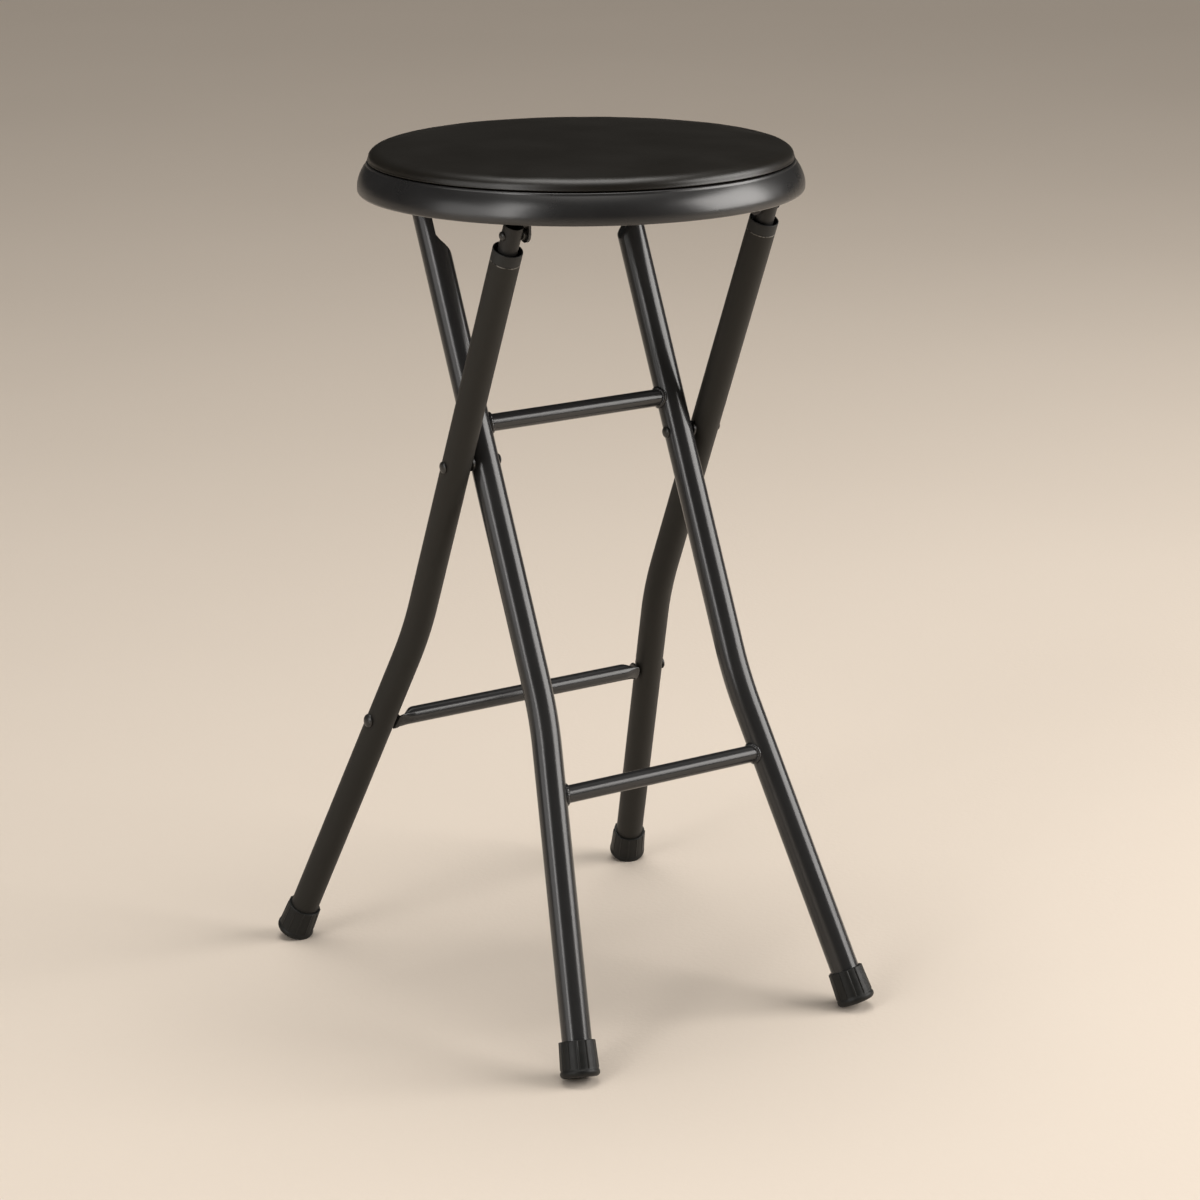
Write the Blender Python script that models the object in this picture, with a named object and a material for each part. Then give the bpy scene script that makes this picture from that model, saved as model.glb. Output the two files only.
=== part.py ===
"""Round padded folding stool with crossed tube frames and telescoping seat tubes.

The stool stands open on z = 0 with its front towards -Y and the middle of its seat over the origin.
The inner frame has its feet at the front and carries the seat at the back. The outer frame has its feet
at the back, and two slide tubes that hang from the front of the seat run down inside its legs.
Lengths are in metres.
"""
import math

import bmesh
import bpy
from mathutils import Matrix, Vector

# Tubes
LEG_OD = 0.0207
LEG_WALL = 0.0009
BAR_OD = 0.0124
BAR_WALL = 0.0010
SLIDE_OD = 0.0136
SLIDE_WALL = 0.0010

# Layout of the two crossed frames, with distances along a leg counted from the pivot
HALF_ANGLE = math.radians(24.0)
PIVOT_HEIGHT = 0.3948
INNER_LEG_X = 0.0815
LEG_SIDE_GAP = 0.0020
OUTER_BEND_DROP = 0.1481
INNER_BEND_DROP = 0.1822
OUTER_FLARE = math.radians(9.5)
INNER_FLARE = math.radians(8.4)
BEND_RADIUS = 0.300
UPPER_BAR_UP = 0.0258
FOOTREST_DROP = 0.2382
REAR_BAR_DROP = 0.2262
REAR_BAR_FORWARD = 0.0024

# Hinges between the legs and the seat
SLIDE_HINGE_UP = 0.1880
COLLAR_BELOW_HINGE = 0.0110
SEAT_HINGE_UP = 0.1710
SEAT_HINGE_BACK = 0.0030

# Clearances
TOUCH_GAP = 0.0003
PIN_GAP = 0.0003
STOP_GAP = 0.0005

# Top ends of the inner legs, pressed flat on their inner side
PRESS_START_BELOW_HINGE = 0.0276
PRESS_FLAT_BELOW_HINGE = 0.0090
PRESS_END_ABOVE_HINGE = 0.0095
PRESS_FACE_OUT = 0.0025

# Collars on the mouths of the outer legs
COLLAR_LENGTH = 0.0085
COLLAR_WALL = 0.0011
COLLAR_CHAMFER = 0.0004

# Feet
FOOT_HEIGHT = 0.0250
FOOT_TOP_WALL = 0.0015
FOOT_TAPER = 0.0009
FOOT_BEAD_OUT = 0.0007
FOOT_BEAD_HEIGHT = 0.0052
FOOT_FLOOR = 0.0035
FOOT_EDGE_RADIUS = 0.0030
FOOT_FLAT_DEPTH = 0.0008
FOOT_RIB_COUNT = 12
FOOT_RIB_HEIGHT = 0.0004
FOOT_RIB_WIDTH = 0.0016

# Rivets through the frames
PIVOT_RIVET_RADIUS = 0.0030
PIVOT_HEAD_RADIUS = 0.0042
PIVOT_HEAD_HEIGHT = 0.0018
SPACER_WALL = 0.0022
BAR_RIVET_RADIUS = 0.0026
BAR_HEAD_RADIUS = 0.0050
BAR_HEAD_HEIGHT = 0.0025
BAR_TAIL_RADIUS = 0.0034
BAR_TAIL_HEIGHT = 0.0014

# Flattened ends of the rear crossbar
TAB_THICKNESS = 0.0028
TAB_HEIGHT = 0.0126
TAB_NECK_HEIGHT = 0.0112
TAB_NECK_LENGTH = 0.0140
TAB_FORWARD = 0.0054
TAB_BEND_RADIUS = 0.0020
BAR_RIVET_DROP = 0.0012

# Seat brackets and their hinge rivets
BRACKET_SHEET = 0.0018
BRACKET_BEND = 0.0024
FRONT_EAR_SPACER = 0.0024
FRONT_EAR_RADIUS = 0.0062
REAR_EAR_RADIUS = 0.0060
BRACKET_BASE_WIDTH = 0.0210
BRACKET_LENGTH = 0.0340
EAR_ROOT_LENGTH = 0.0220
EAR_STRAIGHT = 0.0120
HINGE_RIVET_RADIUS = 0.0026
HINGE_HEAD_RADIUS = 0.0042
HINGE_HEAD_HEIGHT = 0.0017
TUBE_HEAD_RADIUS = 0.0032
HINGE_BULB_RADIUS = 0.0037
HINGE_BULB_LENGTH = 0.0034
SLIDE_TOP_ABOVE_HINGE = 0.0080

# Screws that hold the brackets and the pad to the pan
SCREW_RADIUS = 0.0019
SCREW_HEAD_RADIUS = 0.0036
SCREW_HEAD_HEIGHT = 0.0021
SCREW_BITE = 0.0034
SCREW_SPACING = 0.0240

# Seat pan
PAN_RADIUS = 0.1548
PAN_SHEET = 0.0010
PAN_RIM_ABOVE_HINGE = 0.0109
PAN_HEIGHT = 0.0209
PAN_FLARE = 0.0066
PAN_BULGE = 0.0018
PAN_HEM_DEPTH = 0.0046
PAN_HEM_RADIUS = 0.0023
PAN_SHOULDER_WIDTH = 0.0035
PAN_SHOULDER_ROUND = 0.0011
PAN_RECESS_DEPTH = 0.0084

# Pad board and cushion
BOARD_THICKNESS = 0.0045
BOARD_INSET = 0.0040
PAD_OVERHANG = 0.0037
PAD_SEAM_GAP = 0.0004
PAD_SIDE_HEIGHT = 0.0016
PAD_SHOULDER_WIDTH = 0.0092
PAD_SHOULDER_HEIGHT = 0.0077
PAD_CROWN = 0.0034

# Faceting
LEG_SEGMENTS = 16
BAR_SEGMENTS = 16
PIN_SEGMENTS = 12
SCREW_SEGMENTS = 8
SEAT_SEGMENTS = 48
BEND_STEPS = 4
PRESS_STEPS = 4
DOME_STEPS = 2
ARC_STEPS = 3
SKIRT_STEPS = 4
PAD_SHOULDER_STEPS = 6
PAD_CROWN_STEPS = 5
MERGE_DISTANCE = 1e-6
CUT_OVERRUN = 0.002
SMOOTH_ANGLE = math.radians(35.0)

# Values that follow from the sizes above
LEG_RADIUS = LEG_OD / 2
LEG_BORE = LEG_RADIUS - LEG_WALL
BAR_RADIUS = BAR_OD / 2
SLIDE_RADIUS = SLIDE_OD / 2
OUTER_LEG_X = INNER_LEG_X + LEG_OD + LEG_SIDE_GAP
COLLAR_TOP = SLIDE_HINGE_UP - COLLAR_BELOW_HINGE
PIVOT = Vector((0.0, 0.0, PIVOT_HEIGHT))
OUTER_TILT = Matrix.Translation(PIVOT) @ Matrix.Rotation(HALF_ANGLE, 4, "X")
INNER_TILT = Matrix.Translation(PIVOT) @ Matrix.Rotation(-HALF_ANGLE, 4, "X")
SLIDE_HINGE = OUTER_TILT @ Vector((0.0, 0.0, SLIDE_HINGE_UP))
SEAT_HINGE = INNER_TILT @ Vector((0.0, SEAT_HINGE_BACK, SEAT_HINGE_UP))
RIM_Z = SLIDE_HINGE.z + PAN_RIM_ABOVE_HINGE
SHOULDER_Z = RIM_Z + PAN_HEIGHT
DECK_TOP_Z = SHOULDER_Z - PAN_RECESS_DEPTH
DECK_UNDER_Z = DECK_TOP_Z - PAN_SHEET
SHOULDER_RADIUS = PAN_RADIUS - PAN_FLARE
RECESS_RADIUS = SHOULDER_RADIUS - PAN_SHOULDER_WIDTH
BASE_TOP_Z = DECK_UNDER_Z - TOUCH_GAP
BASE_UNDER_Z = BASE_TOP_Z - BRACKET_SHEET
BOARD_UNDER_Z = DECK_TOP_Z + TOUCH_GAP
BOARD_TOP_Z = BOARD_UNDER_Z + BOARD_THICKNESS
FRONT_EAR_X = OUTER_LEG_X - SLIDE_RADIUS - FRONT_EAR_SPACER - 2 * TOUCH_GAP
PRESS_FACE_X = INNER_LEG_X + PRESS_FACE_OUT
REAR_EAR_X = PRESS_FACE_X - TOUCH_GAP
FOOT_TOP_RADIUS = LEG_RADIUS + PIN_GAP + FOOT_TOP_WALL
FOOT_NECK_RADIUS = FOOT_TOP_RADIUS + FOOT_TAPER
FOOT_BEAD_RADIUS = FOOT_NECK_RADIUS + FOOT_BEAD_OUT
SIDES = (("left", -1), ("right", 1))


def clear_scene():
    for obj in list(bpy.data.objects):
        bpy.data.objects.remove(obj, do_unlink=True)


def make_material(name, color, roughness, metallic):
    material = bpy.data.materials.new(name)
    material.use_nodes = True
    shader = material.node_tree.nodes["Principled BSDF"]
    shader.inputs["Base Color"].default_value = (*color, 1.0)
    shader.inputs["Roughness"].default_value = roughness
    shader.inputs["Metallic"].default_value = metallic
    return material


def make_materials():
    return {
        "vinyl": make_material("black_vinyl", (0.022, 0.020, 0.018), 0.45, 0.0),
        "pan": make_material("satin_pan_paint", (0.020, 0.020, 0.021), 0.35, 0.0),
        "outer": make_material("matte_frame_paint", (0.032, 0.030, 0.028), 0.60, 0.0),
        "inner": make_material("satin_frame_paint", (0.018, 0.018, 0.020), 0.30, 0.0),
        "slide": make_material("slide_tube_paint", (0.034, 0.033, 0.031), 0.50, 0.0),
        "plastic": make_material("collar_plastic", (0.036, 0.037, 0.036), 0.50, 0.0),
        "rubber": make_material("foot_rubber", (0.020, 0.021, 0.019), 0.70, 0.0),
        "rivet": make_material("black_rivet", (0.030, 0.030, 0.031), 0.35, 0.8),
        "screw": make_material("zinc_screw", (0.45, 0.45, 0.44), 0.35, 1.0),
        "board": make_material("pad_hardboard", (0.22, 0.13, 0.07), 0.80, 0.0),
    }


def make_pivot(name, matrix):
    pivot = bpy.data.objects.new(name, None)
    bpy.context.scene.collection.objects.link(pivot)
    pivot.matrix_world = matrix
    return pivot


def make_object(name, bm, parent, placement, material):
    """Link a mesh under its pivot. placement is a matrix in the pivot's own frame."""
    bmesh.ops.recalc_face_normals(bm, faces=bm.faces)
    mesh = bpy.data.meshes.new(name)
    bm.to_mesh(mesh)
    bm.free()
    if material is not None:
        mesh.materials.append(material)
    mesh.shade_smooth()
    mesh.set_sharp_from_angle(angle=SMOOTH_ANGLE)
    obj = bpy.data.objects.new(name, mesh)
    bpy.context.scene.collection.objects.link(obj)
    obj.parent = parent
    obj.matrix_basis = placement
    return obj


def make_cutter(name, bm, parent, placement):
    cutter = make_object(name, bm, parent, placement, None)
    cutter.hide_render = True
    cutter.display_type = "WIRE"
    return cutter


def apply_cut(obj, cutter, operation="DIFFERENCE"):
    cut = obj.modifiers.new(cutter.name, "BOOLEAN")
    cut.operation = operation
    cut.solver = "EXACT"
    cut.object = cutter


def along_x(x, y, z, turn=0.0):
    """Placement that lays a body's own +Z along +X, turned by an angle about Y."""
    return Matrix.Translation((x, y, z)) @ Matrix.Rotation(math.pi / 2 + turn, 4, "Y")


def revolve(profile, segments):
    """Turn (radius, height) points about Z. Both ends lie on the axis, or the outline is a loop."""
    bm = bmesh.new()
    points = [bm.verts.new((radius, 0.0, height)) for radius, height in profile]
    edges = [bm.edges.new(pair) for pair in zip(points, points[1:])]
    if profile[0][0] > MERGE_DISTANCE:
        edges.append(bm.edges.new((points[-1], points[0])))
    bmesh.ops.spin(
        bm,
        geom=points + edges,
        cent=(0.0, 0.0, 0.0),
        axis=(0.0, 0.0, 1.0),
        angle=math.tau,
        steps=segments,
        use_merge=True,
    )
    bmesh.ops.remove_doubles(bm, verts=bm.verts, dist=MERGE_DISTANCE)
    return bm


def cylinder(radius, low, high, segments=PIN_SEGMENTS):
    """Closed round rod along Z between two heights."""
    bm = bmesh.new()
    bmesh.ops.create_cone(
        bm, cap_ends=True, segments=segments, radius1=radius, radius2=radius, depth=high - low
    )
    bmesh.ops.translate(bm, verts=bm.verts, vec=(0.0, 0.0, (low + high) / 2))
    return bm


def extrude_outline(outline, vector):
    """Closed prism from a flat outline of points, pushed along a vector."""
    bm = bmesh.new()
    face = bm.faces.new([bm.verts.new(point) for point in outline])
    pushed = bmesh.ops.extrude_face_region(bm, geom=[face])
    verts = [item for item in pushed["geom"] if isinstance(item, bmesh.types.BMVert)]
    bmesh.ops.translate(bm, verts=verts, vec=vector)
    return bm


def arc(center, radius, start, end, steps):
    """Points of a flat arc, with angles in radians, as (across, up) pairs."""
    turn = (end - start) / steps
    return [
        (center[0] + radius * math.cos(start + turn * i), center[1] + radius * math.sin(start + turn * i))
        for i in range(steps + 1)
    ]


def skin_rings(bm, rings, closed):
    """Join matching rings of points with four-sided faces, back to the first ring if closed."""
    skins = [[bm.verts.new(point) for point in ring] for ring in rings]
    following = skins[1:] + skins[:1] if closed else skins[1:]
    for first, second in zip(skins, following):
        for i in range(len(first)):
            bm.faces.new((first[i - 1], first[i], second[i], second[i - 1]))
    return skins


def loft_tube(outer_rings, inner_rings):
    """Open-ended tube skinned from matching outer and inner rings of points."""
    bm = bmesh.new()
    skin_rings(bm, outer_rings + inner_rings[::-1], True)
    return bm


def loft_solid(rings):
    """Solid skinned over rings of points, with its two end rings filled."""
    bm = bmesh.new()
    skins = skin_rings(bm, rings, False)
    bm.faces.new(skins[0])
    bm.faces.new(skins[-1])
    return bm


def leg_corner_shift(flare):
    return BEND_RADIUS * math.tan(flare / 2)


def leg_stations(leg_x, drop, flare, top_stations, end_length):
    """Places down a leg as (x, height, lean) in its frame, top first, with one gentle outward bend.

    end_length is measured down the flared part from the corner where the two straight runs would meet.
    """
    shift = leg_corner_shift(flare)
    stations = [(leg_x, height, 0.0) for height in top_stations]
    for step in range(BEND_STEPS + 1):
        lean = flare * step / BEND_STEPS
        x = leg_x + BEND_RADIUS * (1 - math.cos(lean))
        stations.append((x, -drop + shift - BEND_RADIUS * math.sin(lean), lean))
    end_x = leg_x + end_length * math.sin(flare)
    stations.append((end_x, -drop - end_length * math.cos(flare), flare))
    return stations


def section_ring(station, side, points):
    """Set section points, given as (outward, backward), square to the leg at a station."""
    x, height, lean = station
    return [
        (side * (x + out * math.cos(lean)), back, height + out * math.sin(lean)) for out, back in points
    ]


def circle_points(radius, segments):
    return [
        (radius * math.cos(math.tau * i / segments), radius * math.sin(math.tau * i / segments))
        for i in range(segments)
    ]


def pressed_points(radius, segments, face_out):
    """Circle whose inner side is pressed to a flat chord at face_out from its centre."""
    start = math.acos(face_out / radius)
    half_chord = radius * math.sin(start)
    points = []
    for i in range(segments):
        angle = math.tau * i / segments
        if radius * math.cos(angle) > face_out:
            points.append((radius * math.cos(angle), radius * math.sin(angle)))
        else:
            along = (angle - start) / (math.tau - 2 * start)
            points.append((face_out, half_chord * (1 - 2 * along)))
    return points


def smooth_step(value):
    return value * value * (3 - 2 * value)


def leg_end_length(drop, flare, above_base):
    """Run down the flared part to a point that lies above_base over the middle of the foot's base."""
    tilt_cos = math.cos(HALF_ANGLE) * math.cos(flare)
    tilt_sin = math.sqrt(1 - tilt_cos * tilt_cos)
    edge = FOOT_BEAD_RADIUS - FOOT_EDGE_RADIUS
    base_z = edge * tilt_sin + FOOT_EDGE_RADIUS * (1 - tilt_cos) - FOOT_FLAT_DEPTH
    corner_z = PIVOT_HEIGHT - drop * math.cos(HALF_ANGLE)
    return (corner_z - base_z) / tilt_cos - above_base


def make_leg(name, side, parent, material, leg_x, drop, flare, top_stations, sections):
    """Bent tube. sections gives the outer and inner section points at each top station."""
    end_length = leg_end_length(drop, flare, FOOT_FLOOR + TOUCH_GAP)
    stations = leg_stations(leg_x, drop, flare, top_stations, end_length)
    plain = (circle_points(LEG_RADIUS, LEG_SEGMENTS), circle_points(LEG_BORE, LEG_SEGMENTS))
    pairs = sections + [plain] * (len(stations) - len(sections))
    outer = [section_ring(station, side, pair[0]) for station, pair in zip(stations, pairs)]
    inner = [section_ring(station, side, pair[1]) for station, pair in zip(stations, pairs)]
    return make_object(name, loft_tube(outer, inner), parent, Matrix(), material)


def make_leg_envelope(name, side, parent, leg_x, drop, flare):
    """Cutter with the outside of a leg plus the touching gap, for coping the ends of crossbars."""
    stations = leg_stations(leg_x, drop, flare, [UPPER_BAR_UP + LEG_OD], 2 * LEG_OD + FOOTREST_DROP - drop)
    points = circle_points(LEG_RADIUS + TOUCH_GAP, LEG_SEGMENTS)
    rings = [section_ring(station, side, points) for station in stations]
    return make_cutter(name, loft_solid(rings), parent, Matrix())


def pressed_sections():
    """Section pairs and heights for the top of an inner leg, from its pressed end down to the round tube."""
    heights = [SEAT_HINGE_UP + PRESS_END_ABOVE_HINGE]
    faces = [PRESS_FACE_OUT]
    flat = SEAT_HINGE_UP - PRESS_FLAT_BELOW_HINGE
    start = SEAT_HINGE_UP - PRESS_START_BELOW_HINGE
    for step in range(PRESS_STEPS):
        part = step / PRESS_STEPS
        heights.append(flat + (start - flat) * part)
        faces.append(PRESS_FACE_OUT - (LEG_RADIUS + PRESS_FACE_OUT) * smooth_step(part))
    sections = []
    for face in faces:
        outer = pressed_points(LEG_RADIUS, LEG_SEGMENTS, face)
        inner = pressed_points(LEG_BORE, LEG_SEGMENTS, face + LEG_WALL)
        sections.append((outer, inner))
    heights.append(start)
    return heights, sections


def dome(radius, height, base, direction):
    """Profile points of a low dome from its rim to its top on the axis, rising along direction."""
    points = []
    for step in range(DOME_STEPS + 1):
        angle = math.pi / 2 * step / DOME_STEPS
        points.append((radius * math.cos(angle), base + direction * height * math.sin(angle)))
    points[-1] = (0.0, base + direction * height)
    return points


def rivet(shank_radius, low, high, low_head, high_head):
    """Solid rivet along Z. Each head is (radius, height) and its flat side faces the other one."""
    lower = dome(low_head[0], low_head[1], low, -1)
    upper = dome(high_head[0], high_head[1], high, 1)
    profile = lower[::-1] + [(shank_radius, low), (shank_radius, high)] + upper
    return revolve(profile, PIN_SEGMENTS)


def drill_along_x(obj, name, parent, radius, low, high, place, turn=0.0):
    """Cut a round hole along X through an object. place is the (y, z) of its axis under the pivot."""
    cutter = make_cutter(name, cylinder(radius, low, high), parent, along_x(0.0, place[0], place[1], turn))
    apply_cut(obj, cutter)
    return cutter


def make_outer_frame(pivot, materials):
    for label, side in SIDES:
        top = COLLAR_TOP - COLLAR_LENGTH - TOUCH_GAP
        leg = make_leg(
            f"outer_leg_{label}", side, pivot, materials["outer"],
            OUTER_LEG_X, OUTER_BEND_DROP, OUTER_FLARE, [top], [],
        )
        low = OUTER_LEG_X - LEG_RADIUS - CUT_OVERRUN
        high = OUTER_LEG_X + LEG_RADIUS + CUT_OVERRUN
        span = sorted((side * low, side * high))
        drill_along_x(leg, f"cut_outer_pivot_{label}", pivot, PIVOT_RIVET_RADIUS + PIN_GAP, *span, (0.0, 0.0))
        make_collar(label, side, pivot, materials["plastic"])
        make_foot(f"foot_rear_{label}", side, pivot, OUTER_TILT, OUTER_LEG_X, OUTER_BEND_DROP, OUTER_FLARE,
                  materials["rubber"])
        make_bar_rivet(label, side, pivot, leg, materials["rivet"])
    make_rear_crossbar(pivot, materials["inner"])


def make_collar(label, side, pivot, material):
    bore = LEG_RADIUS - COLLAR_WALL
    chamfer = COLLAR_CHAMFER
    profile = [
        (bore, 0.0),
        (LEG_RADIUS, 0.0),
        (LEG_RADIUS, COLLAR_LENGTH - chamfer),
        (LEG_RADIUS - chamfer, COLLAR_LENGTH),
        (bore + chamfer, COLLAR_LENGTH),
        (bore, COLLAR_LENGTH - chamfer),
    ]
    place = Matrix.Translation((side * OUTER_LEG_X, 0.0, COLLAR_TOP - COLLAR_LENGTH))
    make_object(f"collar_{label}", revolve(profile, LEG_SEGMENTS), pivot, place, material)


def foot_profile():
    """Half outline of a foot from the middle of its base round to the middle of its socket's floor."""
    bead_top = FOOT_BEAD_HEIGHT
    edge_center = (FOOT_BEAD_RADIUS - FOOT_EDGE_RADIUS, FOOT_EDGE_RADIUS)
    socket = LEG_RADIUS + PIN_GAP
    profile = [(0.0, 0.0)]
    profile += arc(edge_center, FOOT_EDGE_RADIUS, -math.pi / 2, 0.0, ARC_STEPS - 1)
    profile += [
        (FOOT_BEAD_RADIUS, bead_top - FOOT_BEAD_OUT),
        (FOOT_NECK_RADIUS, bead_top),
        (FOOT_TOP_RADIUS, FOOT_HEIGHT),
        (socket, FOOT_HEIGHT),
        (socket, FOOT_FLOOR),
        (0.0, FOOT_FLOOR),
    ]
    return profile


def foot_angles():
    """Directions round a foot, three to each thin rib: its two flanks and its crest between them."""
    half = FOOT_RIB_WIDTH / 2 / FOOT_NECK_RADIUS
    angles = []
    for rib in range(FOOT_RIB_COUNT):
        middle = math.tau * rib / FOOT_RIB_COUNT
        angles += [(middle - half, 0.0), (middle, 1.0), (middle + half, 0.0)]
    return angles


def foot_mesh():
    """Ribbed rubber foot about +Z, with its base at z = 0 and a blind socket for the leg."""
    profile = foot_profile()
    wall_low = FOOT_BEAD_HEIGHT - MERGE_DISTANCE
    wall_high = FOOT_HEIGHT - MERGE_DISTANCE
    angles = foot_angles()
    rings = []
    for radius, height in profile[1:-1]:
        on_wall = radius > LEG_RADIUS + PIN_GAP and wall_low < height < wall_high
        rise = FOOT_RIB_HEIGHT if on_wall else 0.0
        points = [
            ((radius + rise * crest) * math.cos(angle), (radius + rise * crest) * math.sin(angle), height)
            for angle, crest in angles
        ]
        rings.append(points)
    return loft_solid(rings)


def make_foot(name, side, pivot, tilt, leg_x, drop, flare, material):
    """Foot square to its leg, cut flat where it meets the floor."""
    base = leg_end_length(drop, flare, 0.0)
    x = leg_x + base * math.sin(flare)
    height = -drop - base * math.cos(flare)
    place = Matrix.Translation((side * x, 0.0, height)) @ Matrix.Rotation(-side * flare, 4, "Y")
    bm = foot_mesh()
    to_local = (tilt @ place).inverted()
    floor_point = to_local @ Vector((0.0, 0.0, 0.0))
    floor_normal = (to_local.to_3x3() @ Vector((0.0, 0.0, -1.0))).normalized()
    geom = bm.verts[:] + bm.edges[:] + bm.faces[:]
    cut = bmesh.ops.bisect_plane(
        bm, geom=geom, plane_co=floor_point, plane_no=floor_normal, clear_outer=True, dist=MERGE_DISTANCE
    )
    rim = [item for item in cut["geom_cut"] if isinstance(item, bmesh.types.BMEdge)]
    bmesh.ops.contextual_create(bm, geom=rim)
    make_object(name, bm, pivot, place, material)


def bar_rivet_place(side):
    """Placement of a crossbar rivet: its +Z points outward, square to the flared leg."""
    drop = REAR_BAR_DROP + BAR_RIVET_DROP
    x = OUTER_LEG_X + (drop - OUTER_BEND_DROP) * math.tan(OUTER_FLARE)
    turn = Matrix.Rotation(side * (math.pi / 2 - OUTER_FLARE), 4, "Y")
    return Matrix.Translation((side * x, 0.0, -drop)) @ turn


def make_bar_rivet(label, side, pivot, leg, material):
    place = bar_rivet_place(side)
    low = -LEG_RADIUS - 2 * TOUCH_GAP - TAB_THICKNESS
    high = LEG_RADIUS + TOUCH_GAP
    heads = ((BAR_TAIL_RADIUS, BAR_TAIL_HEIGHT), (BAR_HEAD_RADIUS, BAR_HEAD_HEIGHT))
    make_object(f"crossbar_rivet_{label}", rivet(BAR_RIVET_RADIUS, low, high, *heads), pivot, place, material)
    hole = cylinder(BAR_RIVET_RADIUS + PIN_GAP, -LEG_RADIUS - CUT_OVERRUN, LEG_RADIUS + CUT_OVERRUN)
    apply_cut(leg, make_cutter(f"cut_bar_rivet_{label}", hole, pivot, place))


def crossbar_end_stations(tab):
    """Stations of one end of the rear crossbar as (x, back, height, turn, thickness, tall), middle first.

    tab is the middle of the flat end. The round bar is pressed thin towards the front with its under side
    level, then turned back and down on to the face of the leg.
    """
    press_start = tab.x - TAB_NECK_LENGTH
    bend_x = tab.x - TAB_BEND_RADIUS
    neck_z = -REAR_BAR_DROP - (BAR_OD - TAB_NECK_HEIGHT) / 2
    stations = [(press_start, -REAR_BAR_FORWARD, -REAR_BAR_DROP, 0.0, BAR_OD, BAR_OD)]
    for step in range(1, ARC_STEPS):
        part = smooth_step(step / (ARC_STEPS - 1))
        x = press_start + (bend_x - press_start) * step / (ARC_STEPS - 1)
        z = -REAR_BAR_DROP + (neck_z + REAR_BAR_DROP) * part
        thickness = BAR_OD + (TAB_THICKNESS - BAR_OD) * part
        tall = BAR_OD + (TAB_NECK_HEIGHT - BAR_OD) * part
        back = -REAR_BAR_FORWARD - (TAB_FORWARD - REAR_BAR_FORWARD) * part
        stations.append((x, back, z, 0.0, thickness, tall))
    for step in range(1, ARC_STEPS + 1):
        part = step / ARC_STEPS
        turn = math.pi / 2 * part
        x = bend_x + TAB_BEND_RADIUS * math.sin(turn)
        back = -TAB_FORWARD + TAB_BEND_RADIUS * (1 - math.cos(turn))
        z = neck_z + (tab.z - neck_z) * part
        tall = TAB_NECK_HEIGHT + (TAB_HEIGHT - TAB_NECK_HEIGHT) * part
        stations.append((x, back, z, turn, TAB_THICKNESS, tall))
    for step in range(ARC_STEPS):
        angle = math.pi / 2 * step / ARC_STEPS
        reach = TAB_HEIGHT / 2 * math.sin(angle)
        stations.append((tab.x, reach, tab.z, math.pi / 2, TAB_THICKNESS, TAB_HEIGHT * math.cos(angle)))
    return stations


def make_rear_crossbar(pivot, material):
    """Rear crossbar on the outer frame, with its flattened ends lying on the legs' inner faces."""
    tab = bar_rivet_place(1) @ Vector((0.0, 0.0, -LEG_RADIUS - TOUCH_GAP - TAB_THICKNESS / 2))
    half = crossbar_end_stations(tab)
    left = [crossbar_ring(station, -1) for station in half]
    right = [crossbar_ring(station, 1) for station in half]
    bar = make_object("rear_crossbar", loft_solid(left[::-1] + right), pivot, Matrix(), material)
    for label, side in SIDES:
        hole = cylinder(BAR_RIVET_RADIUS + PIN_GAP, -LEG_RADIUS - TAB_NECK_LENGTH, -LEG_RADIUS + CUT_OVERRUN)
        apply_cut(bar, make_cutter(f"cut_tab_{label}", hole, pivot, bar_rivet_place(side)))


def crossbar_ring(station, side):
    """Section of the crossbar. Past its bend the section leans with the flared leg."""
    x, back, height, turn, thickness, tall = station
    lean = math.tan(OUTER_FLARE) * (turn / (math.pi / 2))
    ring = []
    for across, up in circle_points(0.5, BAR_SEGMENTS):
        depth = thickness * across
        rise = tall * up
        out = x - depth * math.sin(turn) - rise * lean
        ring.append((side * out, back + depth * math.cos(turn), height + rise))
    return ring


def make_inner_frame(pivot, materials):
    heights, sections = pressed_sections()
    envelopes = []
    for label, side in SIDES:
        leg = make_leg(
            f"inner_leg_{label}", side, pivot, materials["inner"],
            INNER_LEG_X, INNER_BEND_DROP, INNER_FLARE, heights, sections,
        )
        low = INNER_LEG_X - LEG_RADIUS - CUT_OVERRUN
        high = INNER_LEG_X + LEG_RADIUS + CUT_OVERRUN
        span = sorted((side * low, side * high))
        drill_along_x(leg, f"cut_inner_pivot_{label}", pivot, PIVOT_RIVET_RADIUS + PIN_GAP, *span, (0.0, 0.0))
        hinge_span = sorted((side * low, side * (PRESS_FACE_X + 2 * LEG_WALL)))
        drill_along_x(leg, f"cut_seat_hinge_{label}", pivot, HINGE_RIVET_RADIUS + PIN_GAP, *hinge_span,
                      (SEAT_HINGE_BACK, SEAT_HINGE_UP))
        make_foot(f"foot_front_{label}", side, pivot, INNER_TILT, INNER_LEG_X, INNER_BEND_DROP, INNER_FLARE,
                  materials["rubber"])
        make_pivot_rivet(label, side, pivot, materials)
        envelopes.append(make_leg_envelope(f"cut_cope_{label}", side, pivot, INNER_LEG_X, INNER_BEND_DROP,
                                           INNER_FLARE))
    make_welded_bar("upper_crossbar", UPPER_BAR_UP, pivot, envelopes, materials["inner"])
    make_welded_bar("front_footrest", -FOOTREST_DROP, pivot, envelopes, materials["inner"])


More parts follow.
